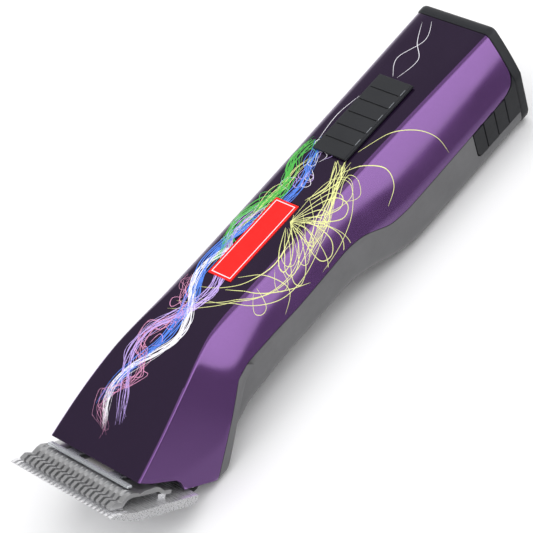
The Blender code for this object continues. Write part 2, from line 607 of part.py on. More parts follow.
def make_rotor():
    axis = (HUB_X, 0, MOTOR_Z)
    shaft = rod_mesh("motor_shaft", (HUB_X + 2.8, 0, MOTOR_Z), (121.5, 0, MOTOR_Z), SHAFT_R, 20)
    place("motor_shaft", shaft, STEEL, BODY_FRAME, axis, True)
    disc = rod_mesh("eccentric_hub", axis, (HUB_X + 6, 0, MOTOR_Z), HUB_R, 28)
    hub = place("eccentric_hub", disc, STEEL, BODY_FRAME, axis, True)
    pin_z = MOTOR_Z + ECCENTRICITY
    pin = rod_mesh("crank_pin", (PIN_X, 0, pin_z), (HUB_X + 0.5, 0, pin_z), CRANK_PIN_R, 16)
    combine(hub, "UNION", pin, BODY_FRAME)
    bore = rod_mesh("hub_bore", (HUB_X + 2.5, 0, MOTOR_Z), (HUB_X + 10, 0, MOTOR_Z), SHAFT_R + GAP, 20)
    combine(hub, "DIFFERENCE", bore, BODY_FRAME)
    ring("eccentric_bearing", CRANK_PIN_R + GAP, BEARING_R, PIN_X + 0.4, PIN_X + 4.4, pin_z, STEEL, 24)
    ring("motor_armature", SHAFT_R + GAP, ARMATURE_R, 87, 107, MOTOR_Z, COPPER, 28)
    ring("motor_commutator", SHAFT_R + GAP, 4.5, 109, 113, MOTOR_Z, COPPER, 20)


def make_motor():
    inside = MOTOR_R - MOTOR_WALL
    profile = [(MOTOR_R, MOTOR_REAR), (MOTOR_R, MOTOR_FRONT), (BUSH_R + GAP, MOTOR_FRONT),
               (BUSH_R + GAP, MOTOR_FRONT + 1.4), (inside, MOTOR_FRONT + 1.4), (inside, MOTOR_REAR)]
    can = turned("motor_can", profile, (0, 0, MOTOR_Z), ALONG_X, ZINC, BODY_FRAME, 32)
    ring("motor_end_cap", BUSH_R + GAP, inside - GAP, 114.2, 117.7, MOTOR_Z, NYLON)
    ring("motor_bush_front", SHAFT_R + GAP, BUSH_R, 79.7, 83.5, MOTOR_Z, BRASS, 20)
    ring("motor_bush_rear", SHAFT_R + GAP, BUSH_R, 114.0, 118.0, MOTOR_Z, BRASS, 20)
    for name, x in (("front", RIB_X[0]), ("rear", RIB_X[1])):
        ring(f"motor_damper_{name}", MOTOR_R + GAP, DAMPER_R, x + 0.2, x + RIB - 0.2, MOTOR_Z, RUBBER, 32)
    for name, middle in (("upper", 90), ("lower", -90)):
        outline = arc((0, MOTOR_Z), inside - GAP, middle - 62, middle + 62, 12)
        outline += arc((0, MOTOR_Z), ARMATURE_R + 0.5, middle + 62, middle - 62, 12)
        place(f"motor_magnet_{name}", prism_mesh(f"motor_magnet_{name}", outline, 86, 110, "X"),
              FERRITE, BODY_FRAME)
    outline = [(-10.5, 8.2), (10.5, 8.2), (14.2, 2), (15, -13),
               (10, -20.5), (-10, -20.5), (-15, -13), (-14.2, 2)]
    plate = place("motor_mount_plate", prism_mesh("motor_mount_plate", outline, 76.6, 78.6, "X"),
                  ZINC, BODY_FRAME)
    bore = rod_mesh("plate_bore", (70, 0, MOTOR_Z), (85, 0, MOTOR_Z), 5.0, 28)
    combine(plate, "DIFFERENCE", bore, BODY_FRAME)
    for side, name in ((-1, "right"), (1, "left")):
        y = side * MOTOR_SCREW_Y
        hole = rod_mesh(f"motor_screw_hole_{name}", (70, y, MOTOR_Z), (84, y, MOTOR_Z), HOLE_R, 16)
        hole = cutter(hole, BODY_FRAME)
        combine(plate, "DIFFERENCE", hole)
        combine(can, "DIFFERENCE", hole)
        screw_part(f"motor_screw_{name}", (76.3, y, MOTOR_Z), ALONG_X, 7.0, BODY_FRAME)


# ---------------------------------------------------------------- switch and electrics

def make_switch():
    mesh = box_mesh("switch_slider", (SLIDER_X[0], -SLIDER_HALF, SLIDER_Z[0]),
                    (SLIDER_X[1], SLIDER_HALF, SLIDER_Z[1]), 0.25)
    part = place("switch_slider", mesh, CHARCOAL, BODY_FRAME)
    stem = box_mesh("slider_stem", (SLIDER_STEM_X[0], -1.7, 6.0), (SLIDER_STEM_X[1], 1.7, SLIDER_Z[0] + 0.4))
    combine(part, "UNION", stem, BODY_FRAME)
    pitch = (SLIDER_X[1] - SLIDER_X[0]) / (SLIDER_GROOVES + 1)
    middles = [SLIDER_X[0] + pitch * (k + 1) for k in range(SLIDER_GROOVES)]
    grooves = [((x - 0.25, -6.6, SLIDER_Z[1] - 0.3), (x + 0.25, 6.6, SLIDER_Z[1] + 2)) for x in middles]
    combine(part, "DIFFERENCE", boxes_mesh("slider_grooves", grooves), BODY_FRAME)
    body = place("switch_body", box_mesh("switch_body", (152, -5.5, BOARD_Z[1] + GAP), (172, 5.5, 8.6), 0.4),
                 BLACK, BODY_FRAME)
    slot = box_mesh("switch_slot", (SLIDER_STEM_X[0] - SWITCH_TRAVEL - 0.6, -2.0, 5.4),
                    (SLIDER_STEM_X[1] + 0.6, 2.0, 12))
    combine(body, "DIFFERENCE", slot, BODY_FRAME)


def make_electrics():
    sheet = box_mesh("circuit_board", (121.5, -7.6, BOARD_Z[0]), (178, 7.6, BOARD_Z[1]))
    board = place("circuit_board", sheet, BOARD_GREEN, BODY_FRAME)
    chips = [((133, -3, 3.4), (139, 3, 5.0)), ((142, -5.5, 3.4), (146, -1.5, 6.2)),
             ((142, 1.5, 3.4), (147, 5.5, 5.6)), ((174, -3, 3.4), (176.5, 3, 4.8))]
    for number, (low, high) in enumerate(chips):
        combine(board, "UNION", box_mesh(f"chip_{number}", low, high), BODY_FRAME)
    place("smoothing_capacitor", rod_mesh("smoothing_capacitor", (127, -3.5, 3.9), (127, -3.5, 9.3), 3.0, 20),
          BLACK, BODY_FRAME, (127, -3.5, 3.9), True)
    leaf = [(148.6, -26), (149.1, -26), (149.1, -24.3), (151.2, -21.8), (151.2, -20.2),
            (149.1, -17.7), (149.1, -16), (148.6, -16)]
    for side, name, lead, material in ((-1, "right", "black", BLACK_WIRE), (1, "left", "red", RED_WIRE)):
        low, high = sorted((side * 3.0, side * 6.5))
        place(f"battery_contact_{name}", prism_mesh(f"battery_contact_{name}", leaf, low, high, "Y"),
              BRASS, BODY_FRAME)
        start, end = Vector((118.6, side * 7, -4)), Vector((125, side * 5, 1.4))
        bend = Vector((124, side * 9, -1))
        route = [start * (1 - t)**2 + bend * 2 * t * (1 - t) + end * t**2
                 for t in (k / 8 for k in range(9))]
        tube(f"motor_lead_{lead}", route, 0.6, material, BODY_FRAME)


# ---------------------------------------------------------------- blade set

def comb_slots(name, half, teeth, width, depth):
    """The gaps between a row of teeth, as one cutter."""
    pitch = 2 * half / teeth
    middles = [-half + pitch * (k + 1) for k in range(teeth - 1)]
    return boxes_mesh(name, [((-2, y - width / 2, -8), (depth, y + width / 2, 10)) for y in middles])


def make_blade_set():
    hinge = (HINGE_D, 0, HINGE_H)
    comb = place("blade_comb", prism_mesh("blade_comb", COMB_PROFILE, -COMB_HALF, COMB_HALF, "Y"),
                 STEEL, BLADE_FRAME, hinge)
    combine(comb, "UNION", box_mesh("comb_rail", (25, -20, -0.8), (28.4, 20, 0.9)), BLADE_FRAME)
    slots = comb_slots("comb_slots", COMB_HALF, COMB_TEETH, COMB_SLOT, COMB_SLOT_DEPTH)
    combine(comb, "DIFFERENCE", slots, BLADE_FRAME)
    socket = place("blade_socket", box_mesh("blade_socket", (29.6, -12.4, 0.0), (38.6, 12.4, 2.4), 0.3),
                   ZINC, BLADE_FRAME, hinge)
    tunnel = box_mesh("socket_tunnel", (25, -TONGUE_HALF - GAP, -2), (45, TONGUE_HALF + GAP, 1.7))
    combine(socket, "DIFFERENCE", tunnel, BLADE_FRAME)
    spring = place("tension_spring", box_mesh("tension_spring", (11.0, -19.5, 5.7), (13.2, 19.5, 6.7), 0.2),
                   ZINC, BLADE_FRAME, hinge)
    arm = [(12, 5.8), (22.5, 5.5), (28.9, 3.0), (36.2, 3.0), (36.2, 3.7), (29.1, 3.7), (22.8, 6.2), (12, 6.5)]
    for side, name in ((-1, "right"), (1, "left")):
        y = side * BLADE_SCREW_Y
        low, high = sorted((y - side * 2.0, y + side * 2.8))
        combine(spring, "UNION", prism_mesh(f"spring_arm_{name}", arm, low, high, "Y"), BLADE_FRAME)
        hole = cutter(rod_mesh(f"blade_screw_hole_{name}", (BLADE_SCREW_D, y, -2.0), (BLADE_SCREW_D, y, 9),
                               HOLE_R, 16), BLADE_FRAME)
        for part in (comb, socket, spring):
            combine(part, "DIFFERENCE", hole)
        screw_part(f"blade_screw_{name}", (BLADE_SCREW_D, y, 4.0), FLIPPED, 5.6, BLADE_FRAME)


def make_cutter():
    hinge = (HINGE_D, 0, HINGE_H)
    part = place("blade_cutter", prism_mesh("blade_cutter", CUTTER_PROFILE, -CUTTER_HALF, CUTTER_HALF, "Y"),
                 STEEL, BLADE_FRAME, hinge)
    slots = comb_slots("cutter_slots", CUTTER_HALF, CUTTER_TEETH, CUTTER_SLOT, CUTTER_SLOT_DEPTH)
    combine(part, "DIFFERENCE", slots, BLADE_FRAME)
    window = box_mesh("yoke_window", (14.7, -YOKE_HALF - GAP, -2), (32, YOKE_HALF + GAP, 9))
    combine(part, "DIFFERENCE", window, BLADE_FRAME)
    yoke = place("cutter_yoke", box_mesh("cutter_yoke", (15.0, -YOKE_HALF, 1.3), (28.0, YOKE_HALF, 5.2), 0.3),
                 NYLON, BLADE_FRAME, hinge)
    slot = box_mesh("yoke_slot", (18.3, -YOKE_SLOT, -2), (32, YOKE_SLOT, 9))
    combine(yoke, "DIFFERENCE", slot, BLADE_FRAME)


def make_hinge():
    hinge = (HINGE_D, 0, HINGE_H)
    knuckle = rod_mesh("hinge_plate", (HINGE_D, -KNUCKLE_HALF, HINGE_H), (HINGE_D, KNUCKLE_HALF, HINGE_H),
                       HINGE_R, 24)
    part = place("hinge_plate", knuckle, BLACK, BLADE_FRAME, hinge)
    combine(part, "UNION", box_mesh("hinge_bar", (39.5, -KNUCKLE_HALF, -1.6), (42.4, KNUCKLE_HALF, 2.4)),
            BLADE_FRAME)
    combine(part, "UNION", box_mesh("hinge_tongue", (30.5, -TONGUE_HALF, 0.0), (40.5, TONGUE_HALF, 1.3)),
            BLADE_FRAME)
    bore = rod_mesh("hinge_bore", (HINGE_D, -30, HINGE_H), (HINGE_D, 30, HINGE_H), HINGE_PIN_R + GAP, 16)
    combine(part, "DIFFERENCE", bore, BLADE_FRAME)
    button = box_mesh("blade_release_button", (RELEASE_D[0], -4.5, -0.9), (RELEASE_D[1], 4.5, 4.2), 0.4)
    place("blade_release_button", button, CHARCOAL, BLADE_FRAME)
    middle = sum(RELEASE_D) / 2
    tube("blade_release_spring", coil_points((middle, 0, 4.8), (middle, 0, 7.6), 1.2, 4), 0.25,
         STEEL, BLADE_FRAME)


# ---------------------------------------------------------------- battery pack

def case_mesh(name, inset, start, end):
    """A straight length of the battery bay's smallest section."""
    return loft_mesh(name, [[(x, y, z) for y, z in section(CASE_X[0], inset)] for x in (start, end)])


def make_case():
    part = place("battery_case", case_mesh("battery_case", WALL + 0.4, *CASE_X), CHARCOAL, BODY_FRAME)
    combine(part, "DIFFERENCE", box_mesh("case_top", (140, -40, CASE_TOP), (240, 40, 40)), BODY_FRAME)
    hollow = cutter(case_mesh("case_hollow", WALL + 0.4 + CASE_WALL, CASE_X[0] + CASE_WALL, LENGTH + 10),
                    BODY_FRAME)
    combine(hollow, "DIFFERENCE", box_mesh("case_lid", (140, -40, CASE_TOP - CASE_WALL), (240, 40, 40)),
            BODY_FRAME)
    seats = [((SPRING_X - 3.5, side * 13.7 - 0.6, -40), (SPRING_X + 3.5, side * 13.7 + 0.6, -18.6))
             for side in (-1, 1)]
    combine(hollow, "DIFFERENCE", boxes_mesh("spring_seats", seats), BODY_FRAME)
    combine(part, "DIFFERENCE", hollow)
    for side in (-1, 1):
        start = Vector((SPRING_X, side * 14.5, SPRING_Z))
        hole = rod_mesh(f"spring_hole_{side}", start, start + Vector((0, side * 10, 0)), 2.3, 20)
        combine(part, "DIFFERENCE", hole, BODY_FRAME)


def make_end_cap():
    steps = [(CAP_X, 0.0), (CAP_X + 1.0, -CAP_FLARE), (LENGTH - 1.0, -CAP_FLARE), (LENGTH, 0.9)]
    loops = [[(x, y, max(z, BOTTOM)) for y, z in section(SHELL_REAR, inset)] for x, inset in steps]
    cap = place("battery_end_cap", loft_mesh("battery_end_cap", loops), CHARCOAL, BODY_FRAME)
    combine(cap, "UNION", box_mesh("cap_plug", (212.5, -14.5, -27), (CAP_X + 0.5, 14.5, -2)), BODY_FRAME)


def make_release_button(side, name):
    stations = []
    edges = [BUTTON_X[0] - 1.0, *BUTTON_GROOVES, BUTTON_X[1] + 1.0]
    for front, rear in zip(edges, edges[1:]):
        stations += [(front + 0.35, -0.1), (rear - 0.35, -0.4), (rear - 0.3, 0.5), (rear + 0.3, 0.5)]
    stations = stations[:-2]
    skin = loft_mesh(f"release_button_{name}",
                     [[(x, y, z) for y, z in section(x, inset)] for x, inset in stations])
    part = place(f"release_button_{name}", skin, CHARCOAL, BODY_FRAME)
    low, high = sorted((side * 15.0, side * 30))
    outline = prism_mesh(f"button_side_{name}", button_outline(0), low, high, "Y")
    combine(part, "INTERSECT", outline, BODY_FRAME)
    combine(part, "DIFFERENCE", body_mesh(f"button_back_{name}", 1.4, False, 180, 226), BODY_FRAME)
    start = Vector((SPRING_X, side * 16.4, SPRING_Z))
    peg = rod_mesh(f"button_peg_{name}", start, start + Vector((0, side * 2.8, 0)), 0.9, 12)
    combine(part, "UNION", peg, BODY_FRAME)
    coil = coil_points((SPRING_X, side * 15.0, SPRING_Z), (SPRING_X, side * 17.7, SPRING_Z), 1.6, 4)
    tube(f"release_spring_{name}", coil, 0.25, STEEL, BODY_FRAME)


def make_battery():
    make_case()
    make_end_cap()
    for side, name in ((-1, "right"), (1, "left")):
        y = side * CELL_Y
        cell = rod_mesh(f"battery_cell_{name}", (CELL_X[0], y, CELL_Z), (CELL_X[1], y, CELL_Z), CELL_R, 32)
        place(f"battery_cell_{name}", cell, CELL_WRAP, BODY_FRAME, (CELL_X[0], y, CELL_Z), True)
        low, high = sorted((side * 2.6, side * 7.0))
        place(f"battery_terminal_{name}",
              box_mesh(f"battery_terminal_{name}", (CASE_X[0] - 0.8, low, -25), (CASE_X[0] - GAP, high, -17)),
              BRASS, BODY_FRAME)
        make_release_button(side, name)
    place("battery_board", box_mesh("battery_board", (158, -11, -22.6), (196, 11, -21.2)),
          BOARD_GREEN, BODY_FRAME)


ABOVE_SEAM = cutter(prism_mesh("above_seam", above_seam(0.0), -40, 40, "Y"), BODY_FRAME)
make_housing(ABOVE_SEAM)
make_head_frame(ABOVE_SEAM)
make_lever()
make_rotor()
make_motor()
make_switch()
make_electrics()
make_blade_set()
make_cutter()
make_hinge()
make_battery()
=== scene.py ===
"""Looks of the cordless animal clipper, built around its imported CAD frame.

Drawing units are millimetres in two frames: body (x back from the blade's tips, y left, z up) and blade
(d back and h up from the tips, in the blade's tilted plane). Finished meshes are in metres, in the CAD's
frame.
"""
import json
import math
import random
from bisect import bisect_right
from functools import lru_cache

import bmesh
import bpy
from mathutils import Matrix, Vector


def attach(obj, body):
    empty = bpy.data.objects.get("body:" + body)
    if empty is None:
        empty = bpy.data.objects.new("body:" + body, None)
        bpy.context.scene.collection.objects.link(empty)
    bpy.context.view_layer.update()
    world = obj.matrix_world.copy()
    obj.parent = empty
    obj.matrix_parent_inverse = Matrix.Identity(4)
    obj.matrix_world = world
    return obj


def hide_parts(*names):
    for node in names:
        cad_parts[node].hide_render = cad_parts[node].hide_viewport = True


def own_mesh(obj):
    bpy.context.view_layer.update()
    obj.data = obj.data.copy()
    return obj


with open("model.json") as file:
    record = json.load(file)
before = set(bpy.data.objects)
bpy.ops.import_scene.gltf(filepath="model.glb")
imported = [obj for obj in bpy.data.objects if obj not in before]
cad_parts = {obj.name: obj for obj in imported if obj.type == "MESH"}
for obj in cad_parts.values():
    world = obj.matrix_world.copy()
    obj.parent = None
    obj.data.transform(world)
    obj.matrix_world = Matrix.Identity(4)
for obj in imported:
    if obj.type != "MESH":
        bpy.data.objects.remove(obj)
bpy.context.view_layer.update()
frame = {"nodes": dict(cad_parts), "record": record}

MM = 0.001
LENGTH, BOTTOM, BLADE_TILT, WALL = 220.0, -33.5, 38.4, 2.0
BODY_FRAME = Matrix.Translation((-LENGTH / 2 * MM, 0, -BOTTOM * MM)) @ Matrix.Scale(MM, 4)
BLADE_FRAME = BODY_FRAME @ Matrix.Rotation(math.radians(BLADE_TILT), 4, "Y")

# Outer body: x, top z, top flat half-width, edge radius, widest half-width, its z,
# bottom z, corner centre half-width, corner radius
BODY = [
    (10, -4.2, 20.9, 0.8, 21.8, -8.0, -33.5, 17.3, 4.2),
    (16, -2.3, 20.7, 0.8, 21.6, -9.0, -33.5, 17.3, 4.2),
    (30, 2.3, 19.7, 0.8, 21.5, -15.0, -33.5, 17.3, 4.2),
    (48, 7.8, 17.1, 1.0, 21.5, -20.0, -33.5, 17.3, 4.2),
    (60, 10.6, 14.4, 1.4, 21.2, -13.0, -28.0, 14.0, 6.0),
    (68, 11.7, 12.6, 2.2, 20.7, -8.0, -26.0, 11.0, 7.0),
    (78, 12.0, 11.6, 3.2, 19.7, -6.5, -25.5, 9.0, 8.0),
    (90, 12.0, 11.4, 3.6, 19.1, -6.0, -25.5, 8.4, 8.0),
    (122, 12.0, 11.7, 3.6, 19.1, -6.0, -25.5, 8.4, 8.0),
    (134, 12.0, 11.9, 3.4, 19.5, -7.0, -28.0, 9.0, 8.0),
    (146, 12.0, 12.2, 3.2, 20.3, -8.6, -31.9, 10.3, 8.0),
    (156, 12.0, 12.5, 3.1, 20.9, -9.0, -33.5, 11.0, 8.0),
    (180, 11.9, 13.1, 3.0, 21.3, -9.0, -33.5, 11.2, 8.0),
    (216, 11.6, 14.3, 2.6, 21.6, -8.8, -33.5, 11.2, 8.0),
]
BELLY = [(38, 17.5, 10.5, 7.0), (60, 17.8, 10.5, 7.0), (68, 18.6, 9.6, 7.5), (78, 19.7, 9.0, 8.0)]
SEAM = [(30, -41.4), (65.5, -6.2), (71, -4.8), (98, -6.0), (126, -5.0), (134, -6.2), (145, -12.6),
        (153, -13.2), (230, -10.8)]
SEAM_GAP, SHELF, SHELL_CORNER = 0.4, 3.4, 8.0
# How deep the black strip of painted shade sits in the seam's gap, as insets from the skin
SEAM_SHADE_DEPTH = (0.2, 1.2)
SHELL_FRONT, SHELL_REAR, CAVITY_FRONT, BEVEL_SEGMENTS = 10.0, 215.4, 17.6, 2
CORNER = (SHELL_REAR - SHELL_CORNER, -3.3)
NOSE_LINE = [(-20, 7.9), (14, 7.9), (20, 6.5), (30.9, 5.2), (33.4, 3.8), (35.6, 0.9), (75, 0.7)]
MOTOR_Z, RIB_X, RIB, BULKHEAD_X, DAMPER_BORE = -6.5, (84.5, 108.5), 3.0, 146.2, 15.9

COMB_HALF, COMB_TEETH, COMB_DEPTH = 24.6, 26, 8.6
CUTTER_HALF, CUTTER_TEETH, CUTTER_DEPTH = 22.0, 18, 8.4
COMB_PROFILE = [(0, 0), (1.8, 0.7), (11.3, -0.4), (39.1, -0.4), (39.1, -2.8), (37.6, -3.7),
                (13.4, -3.8), (8.5, -2.8)]
CUTTER_PROFILE = [(1.8, 2.3), (3.7, 3.6), (6.7, 2.9), (8.6, 4.5), (10.3, 5.3), (13.6, 4.8),
                  (14.6, 4.2), (16.5, 4.8), (21.6, 5.1), (23.5, 4.5), (25.6, 3.0), (28.8, 2.6),
                  (28.8, 1.3), (27, 1.4), (25, 1.9), (23, 3.2), (16.4, 3.3), (11.2, 3.7),
                  (9.5, 3.2), (7.4, 1.1), (2.2, 1.2)]
COMB_SLOT_WIDTH, CUTTER_SLOT_WIDTH = (0.95, 0.8), (1.15, 1.0)     # at the tips and at the root
COMB_RAIL = ((25, -20, -0.8), (28.4, 20, 0.9))
YOKE_WINDOW = ((14.7, -6.3, -2), (32, 6.3, 9))
BLADE_SCREW_D, BLADE_SCREW_Y, SCREW_HOLE_R = 33.6, 9.8, 1.7
SCREW_R, SCREW_HEAD_R, SCREW_HEAD, SOCKET_R = 1.4, 2.4, 1.5, 1.0
SCREW_SIDES, THREAD_PITCH, THREAD_ROOT = 32, 0.8, SCREW_R * 0.84
HEAD_SCREW_PLACE, BLADE_SCREW_SEAT, SHORT_SCREW = (24.0, 14.5, 7.9), 4.0, 5.6
RELEASE_COIL_D, RELEASE_COIL_H = 47.9, (4.8, 7.6)
COIL_WIRE, COIL_TURNS, COIL_PRESSED = 0.25, 4, 0.42
COIL_STEPS, COIL_SIDES = 28, 10                # per turn of the coil, and round its wire
# CAD nodes that keep their vertices, with the width of the bevel modifier that rounds their edges
CRISP_NODES = {"head_frame": 0.25, "hinge_plate": 0.25, "blade_socket": 0.15, "tension_spring": 0.15,
               "cutter_yoke": 0.15, "battery_case": 0.3, "blade_release_button": 0.15, "drive_lever": 0.15,
               "switch_body": 0.15, "motor_mount_plate": 0.12, "circuit_board": 0.08, "battery_board": 0.08,
               "battery_terminal_left": 0.08, "battery_terminal_right": 0.08, "battery_contact_left": 0.08,
               "battery_contact_right": 0.08}

SLIDER_X, SLIDER_HALF, SLIDER_Z, SLIDER_GROOVES = (146.7, 184.3), 7.7, (12.3, 13.2), 5
SLIDER_STEM_X = (160.0, 166.0)
BADGE_X, BADGE_HALF, BADGE_Z, BADGE_GAP = (87.3, 123.7), 5.3, (11.5, 12.15), 0.3
INK_X, INK_LIFT, INK_EDGE, INK_ROOT = (22.0, 214.0), 0.045, 0.005, -0.05
INK_SEAM_MARGIN, ART_SEED, SKIN_STEPS = 0.8, 11, 4
CAP_X, CAP_FLARE = 215.8, 0.35
BUTTON_X, BUTTON_TOP, BUTTON_BOTTOM = (190.7, 215.3), -12.45, -24.6
BUTTON_GROOVES = (196.3, 202.5, 208.7)
SPRING_X, SPRING_Z = 203.0, -21.8
HOUSING_SCREWS = {"front": (57.0, 12.2, -24.6), "rear": (138.0, 12.0, -20.0)}
HOUSING_SCREW, POST_R, SINK_R = 16.0, 4.0, 2.7
REACH = 40                                      # a cut this far each way passes through the whole body

NOISE_SPAN = (0.3, 0.7)                         # where nearly all values of a noise lie

# The studio's brightness by the height of a direction, from straight down to straight up
TENT_BANDS = [(-1.0, 0.6), (-0.80, 0.32), (-0.64, 0.20), (-0.50, 0.09), (-0.29, 0.06), (-0.25, 0.95),
              (0.10, 1.1), (0.46, 0.9), (0.60, 0.22), (1.0, 0.30)]

CAMERA_ANGLES = (-29.58, 43.58, -26.45)         # azimuth, elevation and roll, in degrees
CAMERA_TARGET, CAMERA_DISTANCE, CAMERA_SHIFT = (100, 0, 20), 791.47, (10.31, 10.52)
CAMERA_LENS, CAMERA_SENSOR, CAMERA_CLIP = 161.9, 36.0, (0.01, 50.0)
FLOOR_HALF, FILL_POWER = 6.0, 17.5

AXIS_TURN = {
    "Y": Matrix.Rotation(math.radians(90), 4, "X"),
    "Z": Matrix.Identity(4),
}


# ---------------------------------------------------------------- materials

def new_material(name, colour, roughness, metallic=0.0):
    """A Principled material, with its node tree and its shader."""
    material = bpy.data.materials.new(name)
    material.use_nodes = True
    shader = material.node_tree.nodes["Principled BSDF"]
    shader.inputs["Base Color"].default_value = (*colour, 1.0)
    shader.inputs["Roughness"].default_value = roughness
    shader.inputs["Metallic"].default_value = metallic
    return material, material.node_tree, shader


def place_noise(tree, scale, stretch=(1, 1, 1), turn=(0, 0, 0), detail=3.0):
    """Noise in object space: scale is in features per metre."""
    coordinates = tree.nodes.new("ShaderNodeTexCoord")
    mapping = tree.nodes.new("ShaderNodeMapping")
    mapping.inputs["Rotation"].default_value = turn
    mapping.inputs["Scale"].default_value = stretch
    noise = tree.nodes.new("ShaderNodeTexNoise")
    noise.inputs["Scale"].default_value = scale
    noise.inputs["Detail"].default_value = detail
    tree.links.new(coordinates.outputs["Object"], mapping.inputs["Vector"])
    tree.links.new(mapping.outputs["Vector"], noise.inputs["Vector"])
    return noise.outputs["Fac"]


def add_bump(tree, shader, height, distance, strength):
    """Relief from a height value, distance in metres deep."""
    bump = tree.nodes.new("ShaderNodeBump")
    bump.inputs["Distance"].default_value = distance
    bump.inputs["Strength"].default_value = strength
    tree.links.new(height, bump.inputs["Height"])
    tree.links.new(bump.outputs["Normal"], shader.inputs["Normal"])


def remap(tree, value, low, high):
    """A noise value spread from low to high."""
    node = tree.nodes.new("ShaderNodeMapRange")
    for socket, number in zip(("From Min", "From Max", "To Min", "To Max"), (*NOISE_SPAN, low, high)):
        node.inputs[socket].default_value = number
    tree.links.new(value, node.inputs["Value"])
    return node.outputs["Result"]


def blend_colours(tree, factor, first, second):
    """A colour between two others, by a noise value."""
    ramp = tree.nodes.new("ShaderNodeValToRGB")
    ramp.color_ramp.elements[0].position, ramp.color_ramp.elements[1].position = NOISE_SPAN
    ramp.color_ramp.elements[0].color = (*first, 1)
    ramp.color_ramp.elements[1].color = (*second, 1)
    tree.links.new(factor, ramp.inputs["Fac"])
    return ramp.outputs["Color"]


def plastic(name, colour, roughness, grain=2600, depth=0.00003, spread=0.06, shift=1.25):
    """Moulded plastic: fine spark-eroded grain, slow mottling and uneven gloss."""
    material, tree, shader = new_material(name, colour, roughness)
    slow = place_noise(tree, 90, detail=4)
    lighter = tuple(min(c * shift, 1) for c in colour)
    tree.links.new(blend_colours(tree, slow, colour, lighter), shader.inputs["Base Color"])
    tree.links.new(remap(tree, place_noise(tree, 400), roughness - spread, roughness + spread),
                   shader.inputs["Roughness"])
    add_bump(tree, shader, place_noise(tree, grain), depth, 0.5)
    return material


def metal(name, colour, roughness, lines=(1, 1, 1), scale=900, depth=0.00001, turn=(0, 0, 0),
          metallic=1.0):
    """Metal with grinding marks stretched along one direction and faint tarnish."""
    material, tree, shader = new_material(name, colour, roughness, metallic)
    darker = tuple(c * 0.86 for c in colour)
    tree.links.new(blend_colours(tree, place_noise(tree, 140, detail=5), darker, colour),
                   shader.inputs["Base Color"])
    marks = place_noise(tree, scale, lines, turn, 5)
    tree.links.new(remap(tree, marks, roughness * 0.9, roughness * 1.12), shader.inputs["Roughness"])
    add_bump(tree, shader, marks, depth, 0.12)
    return material


def lacquer(name, flake, ground, roughness):
    """Metallic lacquer: a fine bright mottle in a tinted ground under a clear coat."""
    material, tree, shader = new_material(name, ground, roughness, 0.82)
    flakes = place_noise(tree, 1500, detail=2.0)
    tree.links.new(blend_colours(tree, flakes, ground, flake), shader.inputs["Base Color"])
    tree.links.new(remap(tree, place_noise(tree, 60), roughness - 0.03, roughness + 0.05),
                   shader.inputs["Roughness"])
    shader.inputs["Coat Weight"].default_value = 1.0
    shader.inputs["Coat Roughness"].default_value = 0.03
    shader.inputs["Coat IOR"].default_value = 1.5
    return material


def enamel(name, colour, roughness=0.16, glow=1.2):
    """Printed or fired colour under gloss, slightly uneven in tone."""
    material, tree, shader = new_material(name, colour, roughness)
    lighter = tuple(min(c * glow, 1) for c in colour)
    tree.links.new(blend_colours(tree, place_noise(tree, 220), colour, lighter), shader.inputs["Base Color"])
    tree.links.new(remap(tree, place_noise(tree, 500), roughness * 0.8, roughness * 1.4),
                   shader.inputs["Roughness"])
    shader.inputs["Coat Weight"].default_value = 0.6
    shader.inputs["Coat Roughness"].default_value = 0.05
    return material


BLADE_TURN = (0, -math.radians(BLADE_TILT), 0)
LOOKS = {
    "purple_lacquer": lacquer("purple_metallic_lacquer", (0.31, 0.135, 0.455), (0.285, 0.122, 0.42), 0.12),
    "top_lacquer": lacquer("dark_panel_lacquer", (0.054, 0.023, 0.084), (0.046, 0.020, 0.072), 0.17),
    "grey_soft_plastic": plastic("satin_grey_plastic", (0.13, 0.13, 0.135), 0.40, 1800, 0.00002, 0.05, 1.12),
    "charcoal_plastic": plastic("charcoal_grained_plastic", (0.017, 0.018, 0.021), 0.42),
    "black_plastic": plastic("satin_black_plastic", (0.012, 0.012, 0.013), 0.45),
    "red_enamel": enamel("red_enamel_plate", (0.78, 0.012, 0.010)),
    "ground_steel": metal("ground_blade_steel", (0.62, 0.62, 0.63), 0.34, (1, 0.04, 1), 3500, 0.000002,
                          BLADE_TURN, 0.82),
    "bright_steel": metal("polished_comb_steel", (0.92, 0.92, 0.94), 0.28, (1, 0.04, 1), 3500, 0.000002,
                          BLADE_TURN, 0.70),
    "zinc_plate": metal("bright_zinc_plate", (0.80, 0.83, 0.87), 0.26, (1, 0.2, 1), 1600, 0.000002,
                        metallic=0.75),
    "brass": metal("turned_brass", (0.80, 0.58, 0.26), 0.28, (0.1, 1, 1), 1800),
    "copper_winding": metal("enamelled_copper", (0.72, 0.30, 0.13), 0.34, (0.05, 1, 1), 1200, 0.00008),
    "ferrite": plastic("sintered_ferrite", (0.040, 0.040, 0.044), 0.7, 1500, 0.00005),
    "black_rubber": plastic("black_rubber", (0.016, 0.016, 0.016), 0.78, 1300, 0.00004),
    "green_board": plastic("green_circuit_board", (0.015, 0.16, 0.06), 0.36, 500, 0.00003, 0.05, 1.6),
    "white_nylon": plastic("white_nylon", (0.74, 0.73, 0.69), 0.46, 1500, 0.00002, 0.05, 1.06),
    "cell_wrap": enamel("blue_cell_wrap", (0.03, 0.12, 0.42), 0.26),
    "red_wire": enamel("red_wire_cover", (0.55, 0.012, 0.012), 0.34),
    "black_wire": enamel("black_wire_cover", (0.012, 0.012, 0.012), 0.36),
}
